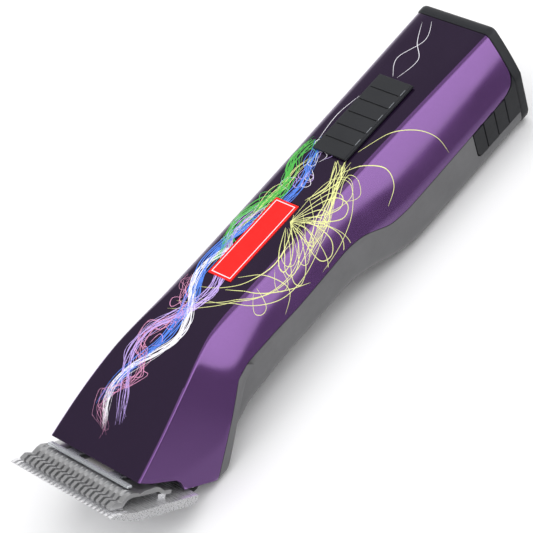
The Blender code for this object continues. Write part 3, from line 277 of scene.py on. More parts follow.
INKS = {
    "white": enamel("white_ink", (0.86, 0.84, 0.90), 0.2, 1.05),
    "lilac": enamel("lilac_ink", (0.50, 0.36, 0.78), 0.2),
    "pink": enamel("pink_ink", (0.72, 0.30, 0.50), 0.2),
    "blue": enamel("blue_ink", (0.07, 0.20, 0.72), 0.2),
    "green": enamel("green_ink", (0.07, 0.42, 0.06), 0.2),
    "yellow": enamel("yellow_ink", (0.74, 0.76, 0.30), 0.2),
    # Light grey used only for the slider's dashes, as a painted highlight.
    "grey": enamel("dash_highlight_grey", (0.20, 0.21, 0.23), 0.3),
}


# ---------------------------------------------------------------- outlines

def smooth_value(table, column, x):
    """One column of a station table at x, by cubic pieces that never overshoot."""
    xs = [row[0] for row in table]
    ys = [row[column] for row in table]
    x = min(max(x, xs[0]), xs[-1])
    i = min(max(bisect_right(xs, x) - 1, 0), len(xs) - 2)
    rises = [(ys[k + 1] - ys[k]) / (xs[k + 1] - xs[k]) for k in range(len(xs) - 1)]

    def slope(k):
        if k in (0, len(rises)):
            return rises[min(k, len(rises) - 1)]
        before, after = rises[k - 1], rises[k]
        return 0.0 if before * after <= 0 else 2 * before * after / (before + after)

    step = xs[i + 1] - xs[i]
    t = (x - xs[i]) / step
    return (ys[i] * (2 * t**3 - 3 * t**2 + 1) + ys[i + 1] * (3 * t**2 - 2 * t**3)
            + step * (slope(i) * (t**3 - 2 * t**2 + t) + slope(i + 1) * (t**3 - t**2)))


def half_section(x, inset=0.0, belly=False, fine=1):
    """Half of the body's outline at x, from the top's middle to the bottom's, as (y, z) points."""
    top, flat, edge, wide, wide_z, bottom, corner_y, corner = (
        smooth_value(BODY, column, x) for column in range(1, 9))
    if belly and x < BELLY[-1][0]:
        wide, corner_y, corner = (smooth_value(BELLY, column, x) for column in range(1, 4))
        flat = min(flat, wide - edge - 1)
    facet = max(0.0, math.atan2(wide - flat - edge, top - wide_z))
    inner_edge = max(edge - inset, 0.5)
    flat += edge - inset - inner_edge
    top, wide, bottom, corner = top - inset, wide - inset, bottom + inset, corner - inset
    half = [(flat * k / (2 * fine), top) for k in range(2 * fine)]
    for k in range(3 * fine + 1):
        turn = (math.pi / 2 - facet) * k / (3 * fine)
        half.append((flat + inner_edge * math.sin(turn), top - inner_edge * (1 - math.cos(turn))))
    edge_y, edge_z = half[-1]
    bend_y, bend_z = edge_y + 0.62 * (wide - edge_y), edge_z + 0.44 * (wide_z - edge_z)
    for k in range(1, 8 * fine + 1):
        t = k / (8 * fine)
        half.append(((1 - t)**2 * edge_y + 2 * t * (1 - t) * bend_y + t**2 * wide,
                     (1 - t)**2 * edge_z + 2 * t * (1 - t) * bend_z + t**2 * wide_z))
    widest = half[-1]
    start = math.radians(8)
    corner_start = (corner_y + corner * math.cos(start), bottom + corner - corner * math.sin(start))
    for k in range(1, 4 * fine):
        t = k / (4 * fine)
        half.append(tuple(a + (b - a) * t for a, b in zip(widest, corner_start)))
    for k in range(6 * fine + 1):
        turn = start + (math.pi / 2 - start) * k / (6 * fine)
        half.append((corner_y + corner * math.cos(turn), bottom + corner - corner * math.sin(turn)))
    half.append((0.0, bottom))
    return half


def section(x, inset=0.0, belly=False, fine=1):
    """The body's whole outline at x, as (y, z) points."""
    half = half_section(x, inset, belly, fine)
    return half + [(-y, z) for y, z in reversed(half[1:-1])]


def arc(centre, radius, start, end, steps):
    """Points on an arc, from start to end in degrees."""
    turns = [math.radians(start + (end - start) * k / steps) for k in range(steps + 1)]
    return [(centre[0] + radius * math.cos(a), centre[1] + radius * math.sin(a)) for a in turns]


def above_seam(shift):
    """The region over the seam line moved by shift, as (x, z) points."""
    line = smooth_seam(shift)
    return line + [(line[-1][0], REACH), (line[0][0] - 25, REACH), (line[0][0] - 25, line[0][1])]


def smooth_seam(shift):
    """The seam line moved by shift, with its knees rounded."""
    points = [Vector((x, z + shift)) for x, z in SEAM]
    line = [points[0]]
    for before, knee, after in zip(points, points[1:], points[2:]):
        reach = min(4.0, (knee - before).length * 0.4, (after - knee).length * 0.4)
        start = knee + (before - knee).normalized() * reach
        end = knee + (after - knee).normalized() * reach
        line += [start * (1 - t)**2 + knee * 2 * t * (1 - t) + end * t**2 for t in (0, 0.2, 0.4, 0.6, 0.8, 1)]
    return [tuple(point) for point in [*line, points[-1]]]


def button_outline(grow):
    """The side button seen from the side, following the upper shell's rear corner."""
    front, bottom = BUTTON_X[0] - grow, BUTTON_BOTTOM - grow
    rear = BUTTON_X[1] + 30 * grow
    points = arc((front + 2.6, bottom + 2.6), 2.6, 270, 180, 8)
    points.append((front, BUTTON_TOP + grow))
    points += arc(CORNER, SHELL_CORNER + SEAM_GAP - grow, -90, -20, 14)
    return points + [(rear, CORNER[1] - 3.0 + grow), (rear, bottom)]


# ---------------------------------------------------------------- meshes

def finish_mesh(bm, name, place):
    """A mesh from a bmesh, its faces turned outwards, moved to its place."""
    bmesh.ops.recalc_face_normals(bm, faces=bm.faces)
    mesh = bpy.data.meshes.new(name)
    bm.to_mesh(mesh)
    bm.free()
    mesh.transform(place)
    return mesh


def boxes(name, places, frame_matrix):
    """Separate boxes, each from a low to a high corner, in one mesh."""
    bm = bmesh.new()
    for low, high in places:
        made = bmesh.ops.create_cube(bm, size=1.0)["verts"]
        bmesh.ops.scale(bm, vec=[high[k] - low[k] for k in range(3)], verts=made)
        bmesh.ops.translate(bm, vec=[(high[k] + low[k]) / 2 for k in range(3)], verts=made)
    return finish_mesh(bm, name, frame_matrix)


def rods(name, ends, radius, frame_matrix, sides=40):
    """Separate cylinders, each from a start to an end point, in one mesh."""
    bm = bmesh.new()
    for start, end in ends:
        start, end = Vector(start), Vector(end)
        turn = Vector((0, 0, 1)).rotation_difference(end - start).to_matrix().to_4x4()
        bmesh.ops.create_cone(bm, cap_ends=True, segments=sides, radius1=radius, radius2=radius,
                              depth=(end - start).length, matrix=Matrix.Translation((start + end) / 2) @ turn)
    return finish_mesh(bm, name, frame_matrix)


def loft(name, loops, frame_matrix):
    """A closed skin through loops of (x, y, z) points, capped at both ends."""
    bm = bmesh.new()
    rings = [[bm.verts.new(point) for point in loop] for loop in loops]
    for first, second in zip(rings, rings[1:]):
        for k in range(len(first)):
            after = (k + 1) % len(first)
            bm.faces.new((first[k], first[after], second[after], second[k]))
    for ring in (rings[0], rings[-1]):
        bm.faces.new(ring)
    return finish_mesh(bm, name, frame_matrix)


def prisms(name, outlines, low, high, axis, frame_matrix):
    """Flat outlines extruded from low to high along an axis of their frame."""
    if axis == "Y":                         # the turn maps the prism's length onto -y
        low, high = -high, -low
    bm = bmesh.new()
    for outline in outlines:
        bottom = [bm.verts.new((u, v, low)) for u, v in outline]
        top = [bm.verts.new((u, v, high)) for u, v in outline]
        for k in range(len(outline)):
            after = (k + 1) % len(outline)
            bm.faces.new((bottom[k], bottom[after], top[after], top[k]))
        bm.faces.new(bottom)
        bm.faces.new(top)
    return finish_mesh(bm, name, frame_matrix @ AXIS_TURN[axis])


def body_loft(name, inset=0.0, belly=False, start=SHELL_FRONT, end=SHELL_REAR, step=2.0):
    """The body's solid form between two x, moved inwards by inset."""
    count = max(2, round((end - start) / step))
    stations = [start + (end - start) * k / count for k in range(count + 1)]
    loops = [[(x, y, z) for y, z in section(x, inset, belly, fine=2)] for x in stations]
    return loft(name, loops, BODY_FRAME)


def carve(name, base, steps):
    """A mesh after a list of (operation, mesh) Booleans."""
    work = bpy.data.objects.new(name, base)
    bpy.context.scene.collection.objects.link(work)
    tools = []
    for operation, mesh in steps:
        tool = bpy.data.objects.new("tool", mesh)
        bpy.context.scene.collection.objects.link(tool)
        modifier = work.modifiers.new("cut", "BOOLEAN")
        modifier.operation, modifier.solver, modifier.object = operation, "MANIFOLD", tool
        tools.append(tool)
    bpy.context.view_layer.update()
    made = bpy.data.meshes.new_from_object(work.evaluated_get(bpy.context.evaluated_depsgraph_get()))
    for item in [work, *tools]:
        bpy.data.objects.remove(item)
    return made


def tidy(mesh, merge=2e-6):
    """Merges points closer than merge metres and drops the slivers that leaves."""
    bm = bmesh.new()
    bm.from_mesh(mesh)
    bmesh.ops.remove_doubles(bm, verts=bm.verts, dist=merge)
    bmesh.ops.dissolve_degenerate(bm, edges=bm.edges, dist=merge)
    bm.to_mesh(mesh)
    bm.free()


def soften(piece, width, angle=32):
    """Small rounded edges, and smooth shading in between."""
    piece.data.shade_smooth()
    piece.data.set_sharp_from_angle(angle=math.radians(angle))
    if width:
        bevel = piece.modifiers.new("edge_round", "BEVEL")
        bevel.width, bevel.segments = width * MM, BEVEL_SEGMENTS
        bevel.limit_method, bevel.angle_limit = "ANGLE", math.radians(angle)
        bevel.harden_normals = True


def add_piece(name, mesh, look, body, nodes=(), edge=0.15, angle=32):
    """A finished piece: its mesh, its look, the body it rides on and the CAD nodes it stands for."""
    mesh.materials.clear()
    mesh.materials.append(look)
    piece = bpy.data.objects.new(name, mesh)
    bpy.context.scene.collection.objects.link(piece)
    soften(piece, edge, angle=angle)
    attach(piece, body)
    if nodes:
        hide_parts(*nodes)
    return piece


# ---------------------------------------------------------------- housing

def nose_cut():
    """The room for the blade head, cut from the front of the body."""
    return prisms("nose_line", [NOSE_LINE + [(75, -60), (-20, -60)]], -REACH, REACH, "Y", BLADE_FRAME)


def housing_screws():
    """The (x, y, seat) of each housing screw."""
    return [(x, side * y, seat) for x, y, seat in HOUSING_SCREWS.values() for side in (-1, 1)]


def cavity(name, belly):
    """The hollow inside a shell, less its motor ribs and screw posts."""
    front = BELLY[0][0] if belly else CAVITY_FRONT
    ribs = [((x, -30, -40), (x + RIB, 30, 40)) for x in RIB_X]
    if belly:
        ribs.append(((BULKHEAD_X, -30, -40), (BULKHEAD_X + WALL, 30, -6)))
    posts = [((x, y, -40), (x, y, 40)) for x, y, _ in housing_screws()]
    return carve(name, body_loft(name, WALL, belly, front, SHELL_REAR + 5, 4.0),
                 [("DIFFERENCE", boxes("ribs", ribs, BODY_FRAME)),
                  ("DIFFERENCE", rods("posts", posts, POST_R, BODY_FRAME))])


def make_shells():
    """The lacquered upper shell and the grey lower shell, which meet along the seam."""
    motor_bore = rods("motor_bore", [((82, 0, MOTOR_Z), (114, 0, MOTOR_Z))], DAMPER_BORE, BODY_FRAME, 64)
    corner = arc(CORNER, SHELL_CORNER, -90, 0, 16)
    corner += [(LENGTH + 10, CORNER[1]), (LENGTH + 10, -20), (CORNER[0], -20)]
    slot = ((SLIDER_STEM_X[0] - 5.5, -3.0, 5), (SLIDER_STEM_X[1] + 0.5, 3.0, 20))
    badge = ((BADGE_X[0] - BADGE_GAP, -BADGE_HALF - BADGE_GAP, BADGE_Z[0] - BADGE_GAP),
             (BADGE_X[1] + BADGE_GAP, BADGE_HALF + BADGE_GAP, 20))
    pilots = [((x, y, -30), (x, y, seat + HOUSING_SCREW + 0.4)) for x, y, seat in housing_screws()]
    upper = carve("upper", body_loft("upper"), [
        ("INTERSECT", prisms("above", [above_seam(0.0)], -REACH, REACH, "Y", BODY_FRAME)),
        ("DIFFERENCE", nose_cut()),
        ("DIFFERENCE", cavity("roof_cavity", False)),
        ("DIFFERENCE", motor_bore),
        ("DIFFERENCE", prisms("corner", [corner], -REACH, REACH, "Y", BODY_FRAME)),
        ("DIFFERENCE", boxes("pockets", [slot, badge], BODY_FRAME)),
        ("DIFFERENCE", rods("pilots", pilots, SCREW_HOLE_R, BODY_FRAME)),
    ])
    tidy(upper)
    shell = add_piece("housing_upper", upper, LOOKS["purple_lacquer"], "housing",
                      ["upper_shell"], 0.0)
    paint_panel(shell)

    band = [(x, z - SEAM_GAP) for x, z in SEAM[:3]]
    band += [(x + SHELF * 0.7, z - SHELF * 0.7) for x, z in reversed(band)]
    nose = carve("nose_band", body_loft("nose_band", 0.0, False, 38, 80), [
        ("INTERSECT", prisms("band", [band], -REACH, REACH, "Y", BODY_FRAME)), ("DIFFERENCE", nose_cut())])
    notches = [prisms("notch", [button_outline(SEAM_GAP)], *sorted((side * 15.5, side * 30)), "Y", BODY_FRAME)
               for side in (-1, 1)]
    holes = [((x, y, -40), (x, y, 0)) for x, y, _ in housing_screws()]
    sinks = [((x, y, -50), (x, y, seat)) for x, y, seat in housing_screws()]
    lower = carve("lower", body_loft("lower", 0.0, True, 38), [
        ("DIFFERENCE", nose_cut()),
        ("DIFFERENCE", prisms("above_gap", [above_seam(-SEAM_GAP)], -REACH, REACH, "Y", BODY_FRAME)),
        ("UNION", nose),
        ("DIFFERENCE", cavity("belly_cavity", True)),
        ("DIFFERENCE", motor_bore.copy()),
        *(("DIFFERENCE", notch) for notch in notches),
        ("DIFFERENCE", rods("holes", holes, SCREW_HOLE_R, BODY_FRAME)),
        ("DIFFERENCE", rods("sinks", sinks, SINK_R, BODY_FRAME)),
    ])
    tidy(lower)
    add_piece("housing_lower", lower, LOOKS["grey_soft_plastic"], "housing",
              ["lower_shell"], 0.0)


def make_seam_shade_strip():
    """A thin black strip in the gap between the shells, as painted shade for the seam's shadow, ending ahead
    of the side buttons.
    """
    line = smooth_seam(0.0)
    band = line + [(x, z - SEAM_GAP) for x, z in reversed(line)]
    behind = boxes("behind", [((BUTTON_X[0] - 2 * SEAM_GAP, -40, -60), (LENGTH + 20, 40, 40))], BODY_FRAME)
    seam_shade = carve("seam_shade", body_loft("seam_shade", SEAM_SHADE_DEPTH[0], start=31.0), [
        ("INTERSECT", prisms("gap", [band], -REACH, REACH, "Y", BODY_FRAME)),
        ("DIFFERENCE", body_loft("seam_shade_back", SEAM_SHADE_DEPTH[1], start=28.0, end=SHELL_REAR + 3)),
        ("DIFFERENCE", nose_cut()),
        ("DIFFERENCE", behind),
    ])
    tidy(seam_shade)
    # The black rubber look here is painted shade: the strip stands for the shadow inside the seam's gap.
    add_piece("seam_shade_strip", seam_shade, LOOKS["black_rubber"], "housing", edge=0.0)


def paint_panel(shell):
    """The upper shell's flat top gets the dark panel lacquer, up to the rounded edges."""
    shell.data.materials.append(LOOKS["top_lacquer"])
    to_body = BODY_FRAME.inverted()
    for face in shell.data.polygons:
        x, y, z = to_body @ face.center
        top, flat, edge = (smooth_value(BODY, column, x) for column in (1, 2, 3))
        if abs(y) < flat + edge * 0.35 and z > top - edge * 0.4 - 0.2:
            face.material_index = 1


# ---------------------------------------------------------------- printed line art

@lru_cache(maxsize=None)
def skin_outline(station):
    """Half the body's outline at x = station / SKIN_STEPS, as (running length, y, z) rows."""
    half = half_section(station / SKIN_STEPS, fine=2)
    length, rows = 0.0, [(0.0, *half[0])]
    for before, after in zip(half, half[1:]):
        length += math.dist(before, after)
        rows.append((length, *after))
    return rows


def on_skin(x, along, lift):
    """The point on the body at x, a signed distance round from the top's middle, lifted off the skin."""
    rows = skin_outline(round(x * SKIN_STEPS))
    at = min(abs(along), rows[-2][0])
    k = max(1, bisect_right([row[0] for row in rows], at))
    (l0, y0, z0), (l1, y1, z1) = rows[k - 1], rows[k]
    t = (at - l0) / (l1 - l0)
    rise, run = (z0 - z1) / (l1 - l0), (y1 - y0) / (l1 - l0)
    side = -1 if along < 0 else 1
    return Vector((x, side * (y0 + (y1 - y0) * t + rise * lift), z0 + (z1 - z0) * t + run * lift))


def seam_height(x):
    """The seam's z at x, or the body's bottom ahead of the seam."""
    for (x0, z0), (x1, z1) in zip(SEAM, SEAM[1:]):
        if x0 <= x <= x1:
            return z0 + (z1 - z0) * (x - x0) / (x1 - x0)
    return BOTTOM


def spline(knots, step=0.6):
    """A smooth path through (x, along) knots."""
    path = []
    padded = [knots[0], *knots, knots[-1]]
    for a, b, c, d in zip(padded, padded[1:], padded[2:], padded[3:]):
        steps = max(3, int(math.dist(b, c) / step))
        for k in range(steps):
            t = k / steps
            path.append(tuple(0.5 * (2 * q + (r - p) * t + (2 * p - 5 * q + 4 * r - u) * t * t
                                     + (3 * q - p - 3 * r + u) * t**3) for p, q, r, u in zip(a, b, c, d)))
    return [*path, knots[-1]]


def stroke(bm, path, width):
    """A closed ribbon along a path on the skin, tapering at both ends and stopping short of the seam."""
    rings = []
    last = len(path) - 1
    for k, (x, along) in enumerate(path):
        middle = on_skin(x, along, 0.0)
        if middle.z < seam_height(x) + INK_SEAM_MARGIN or not INK_X[0] < x < INK_X[1]:
            break
        before, after = path[max(k - 1, 0)], path[min(k + 1, last)]
        run, rise = after[0] - before[0], after[1] - before[1]
        size = math.hypot(run, rise) or 1.0
        half = width / 2 * (0.25 + 0.75 * math.sin(math.pi * min(1.0, k / last + 0.02))**0.6)
        across = (-rise / size * half, run / size * half)
        rings.append([bm.verts.new(point) for point in (
            on_skin(x + across[0], along + across[1], INK_EDGE), on_skin(x, along, INK_LIFT),
            on_skin(x - across[0], along - across[1], INK_EDGE), on_skin(x, along, INK_ROOT))])
    if len(rings) < 3:
        for ring in rings:
            bmesh.ops.delete(bm, geom=ring)
        return
    for first, second in zip(rings, rings[1:]):
        for j in range(4):
            bm.faces.new((first[j], first[(j + 1) % 4], second[(j + 1) % 4], second[j]))
    bm.faces.new(rings[0])
    bm.faces.new(rings[-1])


def bundle(draw, knots, count, spread, widths):
    """Strokes that wander about one line of knots: (path, width) pairs."""
    strokes = []
    for _ in range(count):
        lean = draw.uniform(-1, 1)
        wander = [(x + draw.gauss(0, 0.5) * spread, along + lean * spread + draw.gauss(0, 0.35) * spread)
                  for x, along in knots]
        strokes.append((spline(wander), draw.uniform(*widths)))
    return strokes


# A petal's knots, as parts of its reach forwards and to the side
PETAL = [(0, 0), (0.45, 0.75), (0.8, 1.0), (1.0, 0.35), (0.92, -0.6), (0.6, -0.8), (0.12, -0.5)]


def petal(root, reach, lean, fullness):
    """A long open loop that leaves its root, turns and comes back beside it."""
    knots = []
    for forward, aside in PETAL:
        run, rise = forward * reach, aside * reach * fullness
        knots.append((root[0] + run * math.cos(lean) - rise * math.sin(lean),
                      root[1] + run * math.sin(lean) + rise * math.cos(lean)))
    return spline(knots)


def wave(start, end, middle, swing, length, phase):
    """Knots of a wave along the body from one x to another."""
    count = max(4, int(abs(end - start) / length * 8))
    return [(start + (end - start) * k / count,
             middle + swing * math.sin(phase + 2 * math.pi * abs(end - start) * k / count / length))
            for k in range(count + 1)]


# Long single curves round the badge and over the side, as (x, distance round the body) knots
SWEEPS = [
    [(128, -6.5), (119, -16), (106, -21.5), (93, -20), (82, -12), (76, -2), (73, 7)],
    [(122, -8.5), (113, -17), (102, -21), (90, -18.5), (80, -11), (73, -1), (69, 8)],
    [(131, -9), (122, -19), (109, -25), (96, -25), (85, -18), (79, -9), (77, 1)],
    [(120, -6), (110, -12), (100, -14), (90, -11), (84, -4), (81, 4)],
    [(140, -8), (148, -14), (154, -21), (153, -28), (147, -32)],
    [(152, -8.5), (163, -13), (172, -20), (177, -28), (178, -36)],
    [(138, -7), (140, -15), (134, -23), (124, -28), (113, -30)],
    [(84, -6), (88, -15), (97, -23), (107, -29)],
    [(90, -6.5), (97, -17), (99, -25), (93, -30)],
]


def make_line_art():
    """Loose flowing strands along the left of the panel and open curls round the badge."""
    draw = random.Random(ART_SEED)
    inks = {
        "blue": bundle(draw, wave(150, 34, 5.4, 4.2, 62, 2.4), 15, 2.0, (0.14, 0.5)),
        "lilac": bundle(draw, wave(118, 30, 4.2, 6.0, 56, 0.6), 13, 1.7, (0.14, 0.42)),
        "white": bundle(draw, wave(108, 27, 2.8, 6.4, 50, 5.4), 12, 1.5, (0.14, 0.46)),
        "pink": bundle(draw, wave(84, 24, 6.2, 4.0, 24, 1.0), 9, 2.6, (0.14, 0.26)),
        "green": bundle(draw, wave(150, 92, 8.4, 3.0, 34, 0.4), 14, 2.0, (0.16, 0.6)),
        "yellow": bundle(draw, [(146, -7.2), (139, -10), (131, -13.5), (122, -17), (112, -21)], 9, 2.4,
                         (0.16, 0.34)),
    }
    for k in range(5):
        for ink, x, along, reach in (("green", 96 + 11 * k, 8.0, 6.5), ("white", 136 + 3 * k, 1.0 + k, 5.0),
                                     ("pink", 38 + 9 * k, 5.0, 4.6), ("lilac", 128 + 4 * k, 3.0, 6.0),
                                     ("yellow", 90 + 11 * k, -15.0, 9.0)):
            inks[ink].append((petal((x, along), reach, draw.uniform(0, 6.3), draw.uniform(0.3, 0.55)), 0.24))
    fan = (117.0, -7.0)
    for k in range(14):
        lean = -0.35 - 0.17 * k
        inks["yellow"].append((petal(fan, draw.uniform(13, 27), lean, draw.uniform(0.10, 0.26)),
                               draw.uniform(0.2, 0.38)))
    for knots in SWEEPS:
        inks["yellow"].append((spline(knots), draw.uniform(0.24, 0.40)))
    inks["yellow"] += bundle(draw, [(146, -5.5), (142, -8.5), (137, -9.5), (131, -8), (127, -6.5)], 4, 1.6,
                             (0.2, 0.45))
    inks["yellow"] += bundle(draw, [(143, 5), (137, 7), (130, 6.5), (124, 8), (112, 7), (100, 9)], 5, 1.4,
                             (0.15, 0.3))
    inks["white"] += [(spline([(186, 3.5), (194, 8), (205, 4), (214, 8)]), 0.24),
                      (spline([(186, 1.5), (196, 0), (203, 6), (212, 11)]), 0.24),
                      (spline([(150, 9), (163, 10.6), (174, 8.8)]), 0.24)]
    for ink, strokes in inks.items():
        bm = bmesh.new()
        for path, width in strokes:
            stroke(bm, path, width)
        add_piece(f"line_art_{ink}", finish_mesh(bm, ink, BODY_FRAME), INKS[ink], "housing",
                  edge=0.0, angle=60)


# ---------------------------------------------------------------- slider, badge and battery end

def make_slider():
    """A flat thumb plate with cross grooves whose floors carry painted shade, a step along its right edge,
    and raised dashes coloured light grey as painted highlights.
    """
    (x0, x1), (z0, z1), half = SLIDER_X, SLIDER_Z, SLIDER_HALF
    pitch = (x1 - x0) / (SLIDER_GROOVES + 1)
    middles = [x0 + pitch * (k + 1) for k in range(SLIDER_GROOVES)]
    stem = ((SLIDER_STEM_X[0], -1.7, 6.0), (SLIDER_STEM_X[1], 1.7, z0 + 0.4))
    step = ((x0 - 1, -half - 1, z1 - 0.16), (x1 + 1, -half + 0.75, z1 + 1))
    grooves = [((x - 0.24, -half + 1.5, z1 - 0.34), (x + 0.24, half - 0.9, z1 + 1)) for x in middles]
    plate = carve("slider_plate", boxes("slider_plate", [((x0, -half, z0), (x1, half, z1))], BODY_FRAME), [
        ("UNION", boxes("stem", [stem], BODY_FRAME)),
        ("DIFFERENCE", boxes("step", [step], BODY_FRAME)),
        ("DIFFERENCE", boxes("grooves", grooves, BODY_FRAME)),
    ])
    add_piece("thumb_slider", plate, LOOKS["charcoal_plastic"], "slider",
              ["switch_slider"], 0.12)
    # Thin black sheets on the groove floors are painted shade, darkening the recesses.
    groove_shade_sheets = [((x - 0.235, -half + 1.52, z1 - 0.36), (x + 0.235, half - 0.92, z1 - 0.30)) for x in middles]
    add_piece("slider_groove_shade", boxes("groove_shade_sheets", groove_shade_sheets, BODY_FRAME), LOOKS["black_plastic"],
              "slider", edge=0.0)
    # The raised dashes are light grey as painted highlights on their ridges.
    marks = [((x + 0.5, -half + 1.05, z1 - 0.05), (x + 3.3, -half + 1.33, z1 + 0.05)) for x in middles]
    add_piece("slider_highlight_dashes", boxes("marks", marks, BODY_FRAME), INKS["grey"], "slider",
              edge=0.04)


def make_badge():
    """A plain red plate let into the lacquer, with a thin printed border."""
    (x0, x1), (z0, z1), half = BADGE_X, BADGE_Z, BADGE_HALF
    add_piece("badge", boxes("badge", [((x0, -half, z0), (x1, half, z1))], BODY_FRAME), LOOKS["red_enamel"],
              "housing", ["badge_plate"], 0.12)
    inset, line, low, high = 0.9, 0.32, z1 - 0.03, z1 + 0.03
    left, right, near, far = x0 + inset, x1 - inset, -half + inset, half - inset
    sides = [((left, near, low), (right, near + line, high)), ((left, far - line, low), (right, far, high)),
             ((left, near + line, low), (left + line, far - line, high)),
             ((right - line, near + line, low), (right, far - line, high))]
    add_piece("badge_border", boxes("border", sides, BODY_FRAME), INKS["white"], "housing",
              edge=0.0)


def make_end_cap():
    """The pack's end: a lip that stands just proud of the shells, rounded at the back."""
    steps = [(CAP_X, 0.1), (CAP_X + 0.25, -0.15), (CAP_X + 0.7, -CAP_FLARE), (CAP_X + 2.0, -CAP_FLARE),
             (LENGTH - 1.3, -CAP_FLARE), (LENGTH - 0.7, -0.1), (LENGTH - 0.25, 0.35), (LENGTH, 0.95)]
    loops = [[(x, y, max(z, BOTTOM)) for y, z in section(SHELL_REAR, inset, fine=3)] for x, inset in steps]
    plug = ((212.5, -14.5, -27), (CAP_X + 0.5, 14.5, -2))
    cap = carve("end_cap", loft("end_cap", loops, BODY_FRAME), [("UNION", boxes("plug", [plug], BODY_FRAME))])
    add_piece("pack_end_cap", cap, LOOKS["charcoal_plastic"], "battery_pack",
              ["battery_end_cap"], 0.0)


def make_side_button(side, name):
    """A push button of tilted facets between dark grooves, rounded where it meets the shells."""
    edges = [BUTTON_X[0] - 1.0, *BUTTON_GROOVES, BUTTON_X[1] + 1.0]
    stations = []
    for front, rear in zip(edges, edges[1:]):
        stations += [(front + 0.30, 0.15), (front + 0.42, -0.1), (rear - 0.42, -0.4), (rear - 0.30, -0.15),
                     (rear - 0.26, 0.9), (rear + 0.26, 0.9)]
    loops = [[(x, y, z) for y, z in section(x, inset, fine=3)] for x, inset in stations[:-2]]
    outline = prisms("button_side", [button_outline(0)], *sorted((side * 15.0, side * 30)), "Y", BODY_FRAME)
    peg = ((SPRING_X, side * 16.4, SPRING_Z), (SPRING_X, side * 19.2, SPRING_Z))
    button = carve("side_button", loft("side_button", loops, BODY_FRAME), [
        ("INTERSECT", outline),
        ("DIFFERENCE", body_loft("button_back", 1.4, False, 180, 226, 4.0)),
        ("UNION", rods("peg", [peg], 0.9, BODY_FRAME, 24)),
    ])
    tidy(button)
    add_piece(f"side_button_{name}", button, LOOKS["charcoal_plastic"], f"button_{name}",
              [f"release_button_{name}"], 0.0)


# ---------------------------------------------------------------- blade set

def teeth_gaps(name, half, teeth, widths, depth):
    """The gaps between teeth: open at the tips, narrowing to a round root."""
    pitch = 2 * half / teeth
    outlines = []
    for k in range(1, teeth):
        middle, root = -half + pitch * k, widths[1] / 2
        outline = [(-2, middle - widths[0] / 2), *arc((depth - root, middle), root, -90, 90, 8),
                   (-2, middle + widths[0] / 2)]
        outlines.append(outline)
    return prisms(name, outlines, -10, 12, "Z", BLADE_FRAME)


def blade_screw_holes():
    """The holes for the two blade screws, through the blade's thickness."""
    ends = [((BLADE_SCREW_D, y, -6), (BLADE_SCREW_D, y, 9)) for y in (-BLADE_SCREW_Y, BLADE_SCREW_Y)]
    return rods("screw_holes", ends, SCREW_HOLE_R, BLADE_FRAME)


def make_comb():
    """The fixed lower blade: a ground plate with tapered teeth and a guide rail."""
    plate = prisms("comb", [COMB_PROFILE], -COMB_HALF, COMB_HALF, "Y", BLADE_FRAME)
    comb = carve("comb", plate, [
        ("UNION", boxes("rail", [COMB_RAIL], BLADE_FRAME)),
        ("DIFFERENCE", teeth_gaps("gaps", COMB_HALF, COMB_TEETH, COMB_SLOT_WIDTH, COMB_DEPTH)),
        ("DIFFERENCE", blade_screw_holes()),
    ])
    add_piece("comb_blade", comb, LOOKS["bright_steel"], "blade_set", ["blade_comb"], 0.10)


def make_cutter():
    """The moving upper blade: teeth that run up a crest scalloped between them."""
    plate = prisms("cutter", [CUTTER_PROFILE], -CUTTER_HALF, CUTTER_HALF, "Y", BLADE_FRAME)
    pitch = 2 * CUTTER_HALF / CUTTER_TEETH
    valleys = [((5.2, -CUTTER_HALF + pitch * k, 4.2), (14.2, -CUTTER_HALF + pitch * k, 6.2))
               for k in range(1, CUTTER_TEETH)]
    cutter = carve("cutter", plate, [
        ("DIFFERENCE", teeth_gaps("gaps", CUTTER_HALF, CUTTER_TEETH, CUTTER_SLOT_WIDTH, CUTTER_DEPTH)),
        ("DIFFERENCE", rods("valleys", valleys, 0.85, BLADE_FRAME, 20)),
        ("DIFFERENCE", boxes("window", [YOKE_WINDOW], BLADE_FRAME)),
    ])
    add_piece("cutter_blade", cutter, LOOKS["ground_steel"], "cutter", ["blade_cutter"], 0.09)


# ---------------------------------------------------------------- screws and springs

